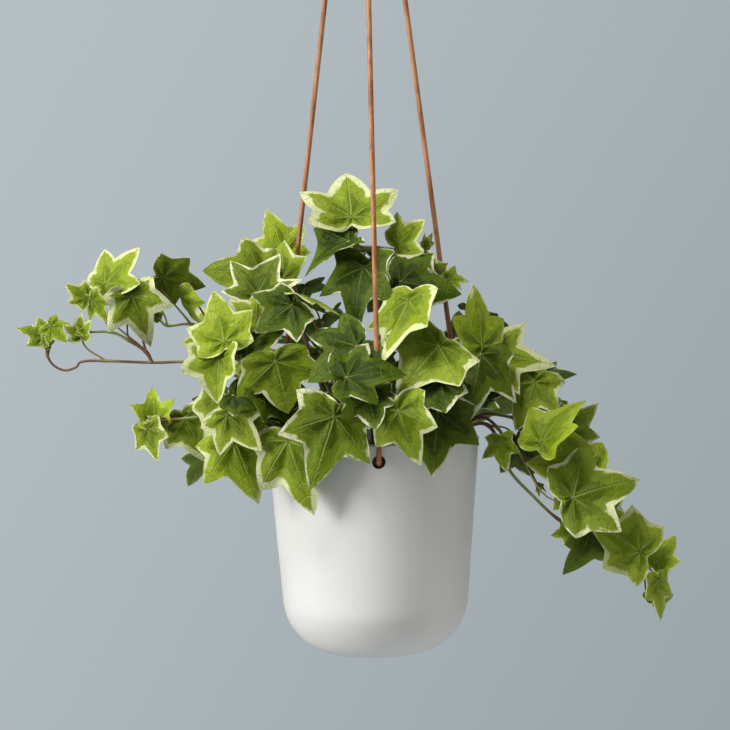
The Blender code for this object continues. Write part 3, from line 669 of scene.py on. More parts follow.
    def blade(self) -> bpy.types.Material:
        """Variegated ivy leaf, drawn in the blade's own round coordinates.

        The UV map "blade" is a disc with the stalk's end at its middle and the leaf's edge at
        its rim, so veins run out along it and the cream margin follows its edge. The colour
        attribute "leaf" holds age with painted shade, cream width, a seed and 1 on top or 0 underneath.
        """
        material, graph, shader = new_material("variegated_leaf")
        look = graph.node("Attribute", attribute_name="leaf")
        parts = graph.node("SeparateColor")
        graph.feed(parts.inputs[0], look.outputs["Color"])
        age_and_shade, cream, seed = parts.outputs[0], parts.outputs[1], parts.outputs[2]
        disc = graph.node("VectorMath", operation="MULTIPLY_ADD")
        graph.feed(disc.inputs[0], graph.node("UVMap", uv_map="blade").outputs[0])
        disc.inputs[1].default_value = (2.0, 2.0, 0.0)
        disc.inputs[2].default_value = (-1.0, -1.0, 0.0)
        place = disc.outputs[0]
        length = graph.node("VectorMath", operation="LENGTH")
        graph.feed(length.inputs[0], place)
        reach = length.outputs["Value"]
        along = None
        for angle in (0, 54, -54, 108, -108):
            dot = graph.node("VectorMath", operation="DOT_PRODUCT")
            graph.feed(dot.inputs[0], place)
            dot.inputs[1].default_value = (cos(radians(angle)), sin(radians(angle)), 0.0)
            found = dot.outputs["Value"]
            along = found if along is None else graph.math("MAXIMUM", along, found)
        squared = graph.less(graph.times(reach, reach), graph.times(along, along))
        across = graph.math("SQRT", graph.math("MAXIMUM", squared, 0.0))
        shifted = graph.node("VectorMath", operation="ADD")
        graph.feed(shifted.inputs[0], place)
        offset = graph.node("CombineXYZ")
        graph.feed(offset.inputs[0], graph.times(seed, 41.0))
        graph.feed(offset.inputs[1], graph.times(seed, 17.0))
        graph.feed(shifted.inputs[1], offset.outputs[0])
        own = shifted.outputs[0]
        blotch = graph.noise(own, 1.7, 2.0)
        ragged = graph.noise(own, 6.5, 3.0)
        fine = graph.noise(own, 26.0, 3.0)

        edge = graph.add(reach, graph.times(graph.less(blotch, 0.5), 0.62))
        edge = graph.add(edge, graph.times(graph.less(ragged, 0.5), 0.26))
        slant = graph.math("DIVIDE", across, graph.add(reach, 0.15))
        edge = graph.add(edge, graph.times(slant, 0.10))
        limit = graph.less(1.08, graph.times(cream, 0.31))
        margin = graph.ramp(edge, graph.less(limit, 0.035), graph.add(limit, 0.045))
        pool = graph.add(edge, graph.times(graph.less(ragged, 0.5), 0.6))
        middle = graph.ramp(pool, graph.less(limit, 0.46), graph.less(limit, 0.20))

        # The dark end of these colours, which shade and mature leaves reach, is mature ivy's own green
        # darkened further as painted shade.
        dark = graph.mix(age_and_shade, (0.190, 0.285, 0.006), (0.027, 0.049, 0.001))
        pale = graph.mix(age_and_shade, (0.36, 0.46, 0.030), (0.082, 0.134, 0.004))
        white = graph.mix(age_and_shade, (0.58, 0.64, 0.26), (0.68, 0.69, 0.47))
        colour = graph.mix(middle, dark, pale)
        mottle = graph.mix(age_and_shade, (0.19, 0.27, 0.01), (0.036, 0.066, 0.003))
        colour = graph.mix(graph.ramp(fine, 0.35, 0.65, 0.0, 0.30), colour, mottle)
        colour = graph.mix(margin, colour, white)
        taper = graph.less(0.030, graph.times(reach, 0.022))
        main_vein = graph.ramp(across, 0.0, taper, 1.0, 0.0)
        chevron = graph.math("FRACT", graph.times(graph.less(along, graph.times(across, 1.25)), 6.0))
        side_vein = graph.ramp(graph.math("ABSOLUTE", graph.less(chevron, 0.5)), 0.0, 0.07, 1.0, 0.0)
        side_vein = graph.times(side_vein, graph.ramp(across, 0.02, 0.30, 0.8, 0.0))
        veins = graph.math("MAXIMUM", main_vein, side_vein)
        visible = graph.times(veins, graph.ramp(margin, 0.0, 1.0, 0.55, 0.15))
        colour = graph.mix(visible, colour, graph.mix(age_and_shade, (0.50, 0.58, 0.12), (0.16, 0.24, 0.04)))
        under = graph.less(1.0, look.outputs["Alpha"])
        colour = graph.mix(graph.times(under, 0.55), colour, (0.24, 0.33, 0.09))
        pucker = graph.add(graph.times(ragged, 0.7), graph.times(fine, 0.25))
        graph.dress(shader, colour,
                    graph.add(graph.ramp(fine, 0.3, 0.7, 0.38, 0.50), graph.times(under, 0.2)),
                    graph.bump(graph.less(pucker, graph.times(veins, 0.5)), 0.75, 1.5 * MM))
        shader.inputs["Specular IOR Level"].default_value = 0.20
        shader.inputs["Specular Tint"].default_value = (1.0, 0.98, 0.72, 1.0)
        shader.inputs["Subsurface Weight"].default_value = 0.12
        shader.inputs["Subsurface Radius"].default_value = (0.5, 0.8, 0.1)
        shader.inputs["Subsurface Scale"].default_value = 1.5 * MM
        return material


@dataclass
class Studio:
    """Camera, soft light, floor and backdrop.

    Each light is (name, place from the middle of the rim, side, power, colour).
    """

    distance: float = 1.6
    height_angle: float = 2.7
    roll: float = 0.9
    lens: float = 123.9
    aim: tuple = (-4.4 * MM, 0, 45.6 * MM)
    lights: tuple = (
        ("key", (-1.80, -0.78, 0.60), 0.9, 37.0, (1.0, 0.99, 0.965)),
        ("edge", (1.7, -0.1, -0.5), 1.4, 5.0, (1.0, 0.995, 0.98)),
        ("top", (-0.35, -0.60, 1.50), 0.6, 20.0, (1.0, 0.99, 0.96)),
    )
    fill: tuple = (0.250, 0.249, 0.242)
    # The backdrop's painted light and painted shade: its lit colour, then its shaded one.
    backdrop: tuple = ((0.475, 0.53, 0.56), (0.30, 0.35, 0.375))

    def build(self) -> None:
        """Set the camera, the lights, the world and the floor."""
        self.camera()
        self.world()
        for light in self.lights:
            self.light(*light)
        self.floor()

    def camera(self) -> None:
        """Look at the plant from slightly above, with a small roll."""
        aim = Vector(self.aim) + Vector((0, 0, RIM_Z))
        lift = radians(self.height_angle)
        away = Vector((0, -cos(lift), sin(lift)))
        data = bpy.data.cameras.new("camera")
        data.lens = self.lens
        camera = in_scene("camera", data)
        camera.location = aim + away * self.distance
        camera.rotation_mode = "QUATERNION"
        facing = (-away).to_track_quat("-Z", "Y")
        camera.rotation_quaternion = facing @ Quaternion((0, 0, 1), radians(-self.roll))
        bpy.context.scene.camera = camera

    def world(self) -> None:
        """Fill the room with even neutral light; the backdrop itself is cool, with painted light and shade:
        lighter to the upper left, darker to the lower right.
        """
        world = bpy.data.worlds.new("studio")
        bpy.context.scene.world = world
        world.use_nodes = True
        graph = Graph(world.node_tree)
        place = graph.node("SeparateXYZ")
        graph.feed(place.inputs[0], graph.node("TexCoord").outputs["Generated"])
        # Painted light and shade on the backdrop: lighter up and to the left, darker down and to the right,
        # as if lit from the left.
        slope = graph.less(place.outputs["X"], graph.times(place.outputs["Z"], 0.6))
        backdrop = graph.mix(graph.ramp(slope, -0.30, 0.42), *self.backdrop)
        seen = graph.node("LightPath").outputs["Is Camera Ray"]
        graph.feed(world.node_tree.nodes["Background"].inputs["Color"], graph.mix(seen, self.fill, backdrop))

    def light(self, name: str, spot: tuple, size: float, power: float, colour: tuple) -> None:
        """Hang a square softbox that faces the plant."""
        data = bpy.data.lights.new(name, "AREA")
        data.energy = power
        data.size = size
        data.color = colour
        lamp = in_scene(name, data)
        lamp.location = Vector(spot) + Vector((0, 0, RIM_Z))
        aim = Vector((0, 0, RIM_Z)) - lamp.location
        lamp.rotation_mode = "QUATERNION"
        lamp.rotation_quaternion = aim.to_track_quat("-Z", "Y")

    def floor(self) -> None:
        """Lay a plain pale floor well below the pot."""
        shape = bmesh.new()
        bmesh.ops.create_circle(shape, cap_ends=True, segments=64, radius=3.0,
                                matrix=Matrix.Translation((0, 0, BASE_Z - 1.1)))
        floor = in_scene("floor", mesh_of(shape, "floor"))
        material, graph, shader = new_material("pale_floor")
        shader.inputs["Base Color"].default_value = (0.60, 0.64, 0.66, 1.0)
        shader.inputs["Roughness"].default_value = 0.8
        floor.data.materials.append(material)


@dataclass
class HangingGear:
    """The three cords with their knots, the gathering knot and the loop."""

    finishes: Finishes
    azimuths: tuple = (-87.3, 32.7, 152.7)
    names: tuple = ("front", "right", "left")

    def build(self) -> None:
        """Make the leather gear."""
        leather = self.finishes.leather()
        knots = [self.stopper(name, azimuth, leather) for name, azimuth in zip(self.names, self.azimuths)]
        gather = self.gathering_knot(leather)
        loop = self.loop(leather)
        for name, azimuth, knot in zip(self.names, self.azimuths, knots):
            route = self.route(azimuth)
            piece = curve_of("leather_cord_" + name, route, [CORD / 2] * len(route), 5)
            piece.data.materials.append(leather)
            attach(piece, ROOT)
            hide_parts("cord_" + name)

    @staticmethod
    def wall_radius(height_below_rim: float) -> float:
        """Return the pot's outer radius on the straight part of its wall."""
        return RIM_RADIUS - TAPER * height_below_rim / (POT_HEIGHT - BASE_CORNER)

    def route(self, azimuth: float) -> list[Vector]:
        """Lead a cord out of its hole, over the rim's edge and up to the gathering knot."""
        hole_radius = self.wall_radius(HOLE_DEPTH)
        outside = RIM_RADIUS + CORD / 2 + 3 * GAP
        inner_end = hole_radius - POT_WALL + GAP
        bend = ((inner_end, -12.2 * MM), (hole_radius - 2.0 * MM, -11.9 * MM),
                (hole_radius + 0.3 * MM, -10.8 * MM), (outside - 1.3 * MM, -8.2 * MM),
                (outside - 0.1 * MM, -5.0 * MM), (outside, -1.0 * MM))
        turn = Matrix.Rotation(radians(azimuth), 3, "Z")
        bend_points = [turn @ Vector((radius, 0, RIM_Z + height)) for radius, height in bend]
        last = turn @ Vector((CORDS_APART, 0, KNOT_BOTTOM - GAP))
        run = [bend_points[-1].lerp(last, step / 8) for step in range(1, 9)]
        return [*smooth_points(bend_points, 0.8 * MM), *smooth_points([bend_points[-1], *run], 6 * MM)[1:]]

    def stopper(self, name: str, azimuth: float, leather: bpy.types.Material) -> bpy.types.Object:
        """Tie the overhand knot that holds a cord inside the wall."""
        reach = self.wall_radius(HOLE_DEPTH) - POT_WALL - GAP - STOPPER_RADIUS
        place = (Matrix.Rotation(radians(azimuth), 4, "Z")
                 @ Matrix.Translation((reach, 0, RIM_Z - HOLE_DEPTH)) @ Matrix.Rotation(pi / 2, 4, "Y"))
        strand = 1.45 * MM
        size = (STOPPER_RADIUS - strand) / 3
        turns = [2 * pi * step / 64 for step in range(64)]
        trefoil = [Vector((sin(t) + 2 * sin(2 * t), cos(t) - 2 * cos(2 * t), -1.5 * sin(3 * t)))
                   for t in turns]
        points = [place @ (size * point) for point in trefoil]
        mesh = mesh_from(curve_of("knot", points, [strand] * len(points), 4, closed=True))
        piece = add_piece("overhand_knot_" + name, mesh, [leather])
        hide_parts("stopper_knot_" + name)
        return piece

    def gathering_knot(self, leather: bpy.types.Material) -> bpy.types.Object:
        """Wind a cord round the gathered cords in close turns."""
        strand = CORD / 2
        radius = KNOT_RADIUS - strand
        turns = (KNOT_TOP - KNOT_BOTTOM - CORD) / (1.02 * CORD)
        climb = KNOT_TOP - KNOT_BOTTOM - CORD
        steps = int(turns * 40)
        points = []
        for step in range(steps + 1):
            t = step / steps
            angle = 2 * pi * turns * t
            waist = radius * (1 - 0.10 * (2 * t - 1) ** 2)
            points.append(Vector((waist * cos(angle), waist * sin(angle), KNOT_BOTTOM + strand + climb * t)))
        wrap = mesh_from(curve_of("wrap", points, [strand] * len(points), 5))
        shape = bmesh.new()
        shape.from_mesh(wrap)
        core = radius - 0.4 * strand
        bmesh.ops.create_cone(shape, cap_ends=True, segments=48, radius1=0.8 * core, radius2=0.8 * core,
                              depth=KNOT_TOP - KNOT_BOTTOM - 0.6 * MM,
                              matrix=Matrix.Translation((0, 0, (KNOT_TOP + KNOT_BOTTOM) / 2)))
        piece = add_piece("gathering_knot", mesh_of(shape, "gathering_knot"), [leather])
        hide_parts("top_knot")
        return piece

    def loop(self, leather: bpy.types.Material) -> bpy.types.Object:
        """Bend the loop that goes over a hook."""
        half = (LOOP_WIDTH + CORD) / 2
        foot = 0.45 * LOOP_WIDTH / 2
        bends = ((foot, KNOT_TOP + GAP), (foot, KNOT_TOP + 0.12 * LOOP_HEIGHT),
                 (0.9 * half, KNOT_TOP + 0.34 * LOOP_HEIGHT), (half, KNOT_TOP + 0.55 * LOOP_HEIGHT),
                 (0.66 * half, -0.09 * LOOP_HEIGHT + CORD / 2))
        one_side = [Vector((x, 0, z)) for x, z in bends]
        other_side = [Vector((-point.x, 0, point.z)) for point in reversed(one_side)]
        points = smooth_points([*one_side, Vector((0, 0, CORD / 2)), *other_side], 1 * MM)
        mesh = mesh_from(curve_of("loop", points, [CORD / 2] * len(points), 5))
        piece = add_piece("hook_loop", mesh, [leather])
        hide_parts("hanging_loop")
        return piece


@dataclass
class Pot:
    """The turned pot and the soil in it."""

    finishes: Finishes
    azimuths: tuple = HangingGear.azimuths
    segments: int = 144
    chips: int = 170
    bark_share: float = 0.86
    strewn: float = 54 * MM

    def build(self) -> None:
        """Make the vessel, the soil and the chips on it."""
        piece = add_piece("ceramic_pot", self.vessel(), [self.finishes.ceramic()], sharp=32)
        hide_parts("pot")
        piece = add_piece("potting_mix", self.soil(), [self.finishes.soil()], sharp=180)
        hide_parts("soil")
        self.scatter()
        LOG.info("pot and soil")

    def bowl(self, inset: float, top_z: float, steps: int) -> list[tuple[float, float]]:
        """Return the bowl's profile from the axis up, set in from the outside by inset."""
        corner = BASE_CORNER - inset
        lean = TAPER / (POT_HEIGHT - BASE_CORNER)
        centre_z = BASE_Z + BASE_CORNER
        centre_radius = RIM_RADIUS - TAPER - BASE_CORNER * sqrt(1 + lean * lean)
        points = [(0, centre_z - corner),
                  *arc(centre_radius, centre_z, corner, -90, -degrees(atan(lean)), steps)]
        (first_r, first_z), last_r = points[-1], HangingGear.wall_radius(RIM_Z - top_z) - inset
        rows = 12
        for row in range(1, rows + 1):
            points.append((first_r + (last_r - first_r) * row / rows,
                           first_z + (top_z - first_z) * row / rows))
        return points

    def vessel(self) -> bpy.types.Mesh:
        """Turn the pot and cut its cord holes with softened edges."""
        lip = POT_WALL / 2
        outside = self.bowl(0, RIM_Z - lip, 24)
        inside = self.bowl(POT_WALL, RIM_Z - lip, 18)
        rim = arc(RIM_RADIUS - lip, RIM_Z - lip, lip, 0, 180, 12)[1:-1]
        body = in_scene("body", mesh_of(turned([*outside, *rim, *reversed(inside)], self.segments), "body"))
        cutters = bpy.data.collections.new("cutters")
        bpy.context.scene.collection.children.link(cutters)
        for azimuth in self.azimuths:
            cutters.objects.link(bpy.data.objects.new("cutter", self.spool(azimuth)))
        boolean = body.modifiers.new("holes", "BOOLEAN")
        boolean.operation = "DIFFERENCE"
        boolean.solver = "EXACT"
        boolean.operand_type = "COLLECTION"
        boolean.collection = cutters
        mesh = mesh_from(body)
        for cutter in list(cutters.objects):
            bpy.data.objects.remove(cutter)
        bpy.data.collections.remove(cutters)
        return mesh

    def spool(self, azimuth: float) -> bpy.types.Mesh:
        """Return a round cutter that flares where it leaves the wall, so the hole's edges are soft."""
        soft = 0.8 * MM
        wall = HangingGear.wall_radius(HOLE_DEPTH)
        flare = [(HOLE / 2 + soft * (1 - sin(radians(a))), soft * cos(radians(a)))
                 for a in (20, 35, 50, 70, 90)]
        outer = [(radius, wall - soft + 0.15 * MM + height) for radius, height in flare]
        inner = [(radius, wall - POT_WALL + soft - 0.15 * MM - height) for radius, height in flare]
        profile = [(0, inner[0][1] - 2 * MM), (inner[0][0], inner[0][1] - 2 * MM), *inner, *reversed(outer),
                   (outer[0][0], outer[0][1] + 2 * MM), (0, outer[0][1] + 2 * MM)]
        shape = turned(profile, 40)
        place = Matrix.Rotation(radians(azimuth), 4, "Z") @ Matrix.Translation((0, 0, RIM_Z - HOLE_DEPTH))
        bmesh.ops.transform(shape, matrix=place @ Matrix.Rotation(pi / 2, 4, "Y"), verts=shape.verts)
        return mesh_of(shape, "spool")

    def ground(self, x: float, y: float) -> float:
        """Return the soil's height at a place: lumpy, lower by the wall and round each knot."""
        radius = sqrt(x * x + y * y)
        lumps = 0.9 * sin(x / (7 * MM) + 1.3) * cos(y / (6 * MM)) + 0.5 * sin(x / (3.1 * MM) + y / (3.7 * MM))
        slope = -2.2 * max(0.0, (radius - 50 * MM) / (12 * MM))
        hollow = 0.0
        for azimuth in self.azimuths:
            reach = HangingGear.wall_radius(HOLE_DEPTH) - POT_WALL - STOPPER_RADIUS
            away = sqrt((x - reach * cos(radians(azimuth))) ** 2 + (y - reach * sin(radians(azimuth))) ** 2)
            hollow -= 8.5 * max(0.0, min(1.0, (9 * MM - away) / (4 * MM)))
        return RIM_Z - SOIL_BELOW_RIM + (lumps + slope + hollow) * MM

    def soil(self) -> bpy.types.Mesh:
        """Fill the pot and roughen the soil's top."""
        inset = POT_WALL + GAP
        profile = self.bowl(inset, RIM_Z - SOIL_BELOW_RIM - 12 * MM, 10)
        top = RIM_Z - SOIL_BELOW_RIM
        edge = HangingGear.wall_radius(SOIL_BELOW_RIM) - inset
        rings = 44
        crown = [(edge * (1 - ring / rings), top) for ring in range(rings)]
        shape = turned([*profile, *crown, (0, top)], 120)
        for vertex in shape.verts:
            if vertex.co.z > top - 0.1 * MM:
                vertex.co.z = self.ground(vertex.co.x, vertex.co.y)
        return mesh_of(shape, "potting_mix")

    def scatter(self) -> None:
        """Strew bark chips and white perlite grains over the soil."""
        chance = Random(7)
        kinds = (("bark_chips", (0.055, 0.028, 0.014), (0.15, 0.085, 0.045)),
                 ("perlite", (0.62, 0.60, 0.56), (0.78, 0.77, 0.74)))
        shapes = {name: bmesh.new() for name, *_ in kinds}
        for _ in range(self.chips):
            name = "bark_chips" if chance.random() < self.bark_share else "perlite"
            angle, reach = chance.uniform(0, 2 * pi), self.strewn * sqrt(chance.random())
            x, y = reach * cos(angle), reach * sin(angle)
            size = chance.uniform(0.8, 1.3) * MM if name == "perlite" else chance.uniform(1.2, 2.6) * MM
            flat = (1.0, 1.0, 0.9) if name == "perlite" else (1.6, 0.8, 0.45)
            lie = Euler((chance.uniform(-0.6, 0.6), chance.uniform(-0.6, 0.6), chance.uniform(0, 6)))
            place = (Matrix.Translation((x, y, self.ground(x, y) + 0.3 * size)) @ lie.to_matrix().to_4x4()
                     @ Matrix.Diagonal((*(axis * size for axis in flat), 1)))
            made = bmesh.ops.create_icosphere(shapes[name], subdivisions=1, radius=1.0, matrix=place)
            for vertex in made["verts"]:
                vertex.co += Vector([chance.uniform(-1, 1) for _ in range(3)]) * 0.22 * size
        for name, dark, light in kinds:
            bark = self.finishes.bark(name, dark, light)
            add_piece(name, mesh_of(shapes[name], name), [bark], sharp=20)


class Leaf:
    """One leaf: where the model holds its blade, and the fine blade and stalk drawn there."""

    def __init__(self, base: Vector, tip: Vector, facing: Vector, turn: float, width: float) -> None:
        """Place a blade from its stalk's end to its tip, facing one way and turned about its midrib."""
        self.base = base
        self.length = (tip - base).length
        self.along = (tip - base).normalized()
        flat = (facing - self.along * facing.dot(self.along)).normalized()
        self.up = Quaternion(self.along, radians(turn)) @ flat
        self.width = width
        self.foot = base

    def moved(self, lift: float, tilt: float, swing: float) -> Leaf:
        """Return a copy lifted off its face, tilted about its base and swung round its foot."""
        tilting = Quaternion(self.along.cross(self.up), radians(tilt))
        swinging = Quaternion((0, 0, 1), radians(swing))
        base = self.foot + swinging @ (self.base + self.up * lift - self.foot)
        along = swinging @ (tilting @ self.along)
        copy = Leaf(base, base + along * self.length, swinging @ (tilting @ self.up), 0, self.width)
        copy.foot = self.foot
        return copy

    def underside(self) -> list[Vector]:
        """Return the corners of the underside that the model's blade has."""
        side = self.along.cross(self.up)
        half = [(radians(angle), reach * self.length) for angle, reach in LEAF_OUTLINE]
        whole = [*reversed(half), *((-angle, reach) for angle, reach in half[1:])]
        return [self.base + self.along * cos(angle) * reach + side * sin(angle) * reach * self.width
                - self.up * BLADE / 2 for angle, reach in whole]

    def settled(self, tree: BVHTree) -> Leaf:
        """Return the leaf where its vine in the model holds it.

        Args:
            tree: the surface of the vine's solid.

        Returns:
            The first moved copy whose corners lie on that surface, or the leaf itself.
        """
        for move in MOVES:
            trial = self.moved(*move)
            corners = trial.underside()
            near = sum(tree.find_nearest(corner, 0.1 * MM)[0] is not None for corner in corners)
            if near >= len(corners) - 1:
                return trial
        LOG.warning("a leaf has no match in the model")
        return self

    def stalk(self, steps: int) -> list[Vector]:
        """Return the stalk's smooth middle line from the stem to the blade."""
        reach = (self.base - self.foot).length
        bend = self.base - self.along * 0.45 * reach - self.up * 0.15 * reach
        start = self.foot + (self.base - self.along * 0.45 * reach - self.foot) * 0.4
        start.z += 0.12 * reach
        line = []
        for step in range(steps + 1):
            t = step / steps
            line.append(self.foot * (1 - t) ** 3 + start * 3 * t * (1 - t) ** 2
                        + bend * 3 * t * t * (1 - t) + self.base * t ** 3)
        return [*line, self.base + self.along * 0.03 * self.length - self.up * 0.2 * MM]


def model_shape(name: str) -> bmesh.types.BMesh:
    """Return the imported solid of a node."""
    shape = bmesh.new()
    shape.from_mesh(frame["nodes"][name].data)
    return shape


def all_moves() -> list[tuple[float, float, float]]:
    """Return the moves that a leaf may have made, as (lift, tilt, swing), smallest first."""
    lifts = [step * 1.5 * MM for step in range(-8, 9)]
    tilts = (0, 12, -12, 25, -25, 40, -40)
    swings = (0, 15, -15, 30, -30, 50, -50, 75, -75)
    every = [(lift, tilt, swing) for swing in swings for tilt in tilts for lift in lifts]
    return sorted(every, key=lambda move: abs(move[0]) / (3 * MM) + abs(move[1]) / 14 + abs(move[2]) / 18)


MOVES = all_moves()


def in_metres(point: tuple) -> Vector:
    """Return a point of a route or a leaf in metres, from the hook."""
    x, y, z = point
    if z != FOOT:
        lean = radians(PLANT_LEAN)
        x, z = x * cos(lean) + z * sin(lean), z * cos(lean) - x * sin(lean)
    spread = RIM_RADIUS / PLANT_RADIUS
    return Vector((x * MM * spread, y * MM * spread, z * MM + RIM_Z))


def runner_points(route: tuple, spacing: float) -> list[Vector]:
    """Return the smooth middle line of a runner; one that is rooted leaves the soil upright."""
    points = [in_metres(point) for point in route]
    if route[0][2] == FOOT:
        points.insert(1, points[0] + Vector((0, 0, 1.5 * STEM)))
    return smooth_points(points, spacing)


def drawn_leaves(leaves: tuple, facing: tuple) -> list[Leaf]:
    """Return the leaves that are placed one by one."""
    return [Leaf(in_metres(base), in_metres(tip), Vector(facing), turn, width)
            for base, tip, turn, width in leaves]


def scattered_leaves(points: list[Vector], count: int, seed: int) -> list[Leaf]:
    """Return leaves left and right of a runner by turns, smaller towards its tip.

    Args:
        points: the runner's middle line.
        count: how many leaves it bears.
        seed: what their variation starts from.

    Returns:
        The leaves where they grow before they make room for each other.
    """
    chance = Random(seed)
    first = 0.3
    leaves = []
    for number in range(count):
        along = first + (1 - first) * number / (count - 1)
        index = min(round(along * (len(points) - 1)), len(points) - 1)
        place = points[index]
        forward = (points[index] - points[index - 1]).normalized()
        outward = Vector((place.x, place.y, 0)).normalized()
        sideways = forward.cross(Vector((0, 0, 1)))
        sideways = (sideways if sideways.length > 0.2 else outward.cross(Vector((0, 0, 1)))).normalized()
        sideways *= (-1) ** number
        length = (36 - 12 * number / (count - 1) + chance.uniform(-3, 3)) * MM
        stalk = (sideways * 0.8 + outward * 0.5 + Vector((0, 0, 0.5))).normalized()
        base = place + stalk * chance.uniform(0.4, 0.6) * length
        aim = outward * 0.8 + sideways * chance.uniform(0.3, 0.8) + Vector((0, 0, chance.uniform(-0.9, 0.2)))
        facing = outward * 0.8 + Vector((0, 0, 0.7))
        turn = chance.uniform(-22, 22)
        leaves.append(Leaf(base, base + aim.normalized() * length, facing, turn, chance.uniform(0.95, 1.15)))
    return leaves


def join_to_stem(leaf: Leaf, points: list[Vector]) -> None:
    """Start a leaf's stalk at a point of its runner a little behind the nearest one."""
    nearest = min(range(len(points)), key=lambda index: (points[index] - leaf.base).length)
    back = 0.5 * (points[nearest] - leaf.base).length
    while nearest > 1 and back > 0:
        back -= (points[nearest] - points[nearest - 1]).length
        nearest -= 1
    leaf.foot = points[nearest]


class LeafForm:
    """One leaf's own shape: its lobes, and how it folds, droops, curls and waves."""

    def __init__(self, chance: Random) -> None:
        """Choose the shape by chance."""
        self.lobes = (1.0, 0.80 * chance.uniform(0.90, 1.06), 0.56 * chance.uniform(0.85, 1.12))
        self.notch, self.point = chance.uniform(0.50, 0.61), chance.uniform(1.1, 1.75)
        self.fold, self.droop = chance.uniform(-0.20, 0.75), chance.uniform(0.05, 0.5)
        self.curl = chance.uniform(-0.1, 0.45)
        self.wave, self.phase = chance.uniform(0.03, 0.08), chance.uniform(0, 2 * pi)
        self.twist, self.roll = chance.uniform(-0.25, 0.25), chance.uniform(-18, 18)

    def edge_reach(self, angle: float) -> float:
        """Return how far the edge is from the stalk's end, at an angle in degrees from the midrib."""
        marks = ((0, self.lobes[0]), (30, self.notch), (54, self.lobes[1]), (84, 0.86 * self.notch),
                 (108, self.lobes[2]), (180, 0.17))
        turn = abs(angle)
        for (first, near), (last, far) in zip(marks, marks[1:]):
            if turn <= last:
                t = (turn - first) / (last - first)
                if near > far:
                    return far + (near - far) * (1 - t) ** self.point
                return near + (far - near) * t ** self.point
        return marks[-1][1]

    def bent(self, leaf: Leaf, place: Vector, ease: float) -> Vector:
        """Return where a point of the flat disc comes to lie.

        Args:
            leaf: the leaf's place.
            place: the point on a disc of radius 1, with the midrib along X.
            ease: how much of its fold, droop and curl the leaf shows, from 0 to 1.

        Returns:
            The point on the shaped blade.
        """
        reach = sqrt(place.x ** 2 + place.y ** 2)
        angle = atan2(place.y, place.x)
        edge = reach * self.edge_reach(degrees(angle))
        ahead, aside = edge * cos(angle), edge * sin(angle)
        height = (self.fold * (sqrt(aside * aside + 0.004) - 0.063) - self.droop * max(0.0, ahead) ** 2
                  - self.curl * aside ** 2 - 0.12 * max(0.0, -ahead) ** 2 + self.twist * aside * ahead
                  + self.wave * sin(3 * angle + self.phase) * reach ** 2
                  + 0.5 * self.wave * sin(8 * angle + 2 * self.phase) * reach ** 4)
        height = ease * height + 0.026 * sin(pi * min(1.0, reach)) * cos(360 / 54 * angle)
        up = Quaternion(leaf.along, radians(self.roll * ease)) @ leaf.up
        side = leaf.along.cross(up)
        return (leaf.base + leaf.along * ahead * leaf.length + side * aside * leaf.length * leaf.width
                + up * height * leaf.length)


class Room:
    """The space that a shape takes up."""

    def __init__(self, shape: bmesh.types.BMesh) -> None:
        """Measure a shape."""
        self.tree = BVHTree.FromBMesh(shape)
        self.low = [min(vertex.co[axis] for vertex in shape.verts) for axis in range(3)]
        self.high = [max(vertex.co[axis] for vertex in shape.verts) for axis in range(3)]

    def crosses(self, other: Room) -> bool:
        """Return whether two shapes cross."""
        apart = any(self.low[axis] > other.high[axis] or other.low[axis] > self.high[axis]
                    for axis in range(3))
        return not apart and bool(self.tree.overlap(other.tree))


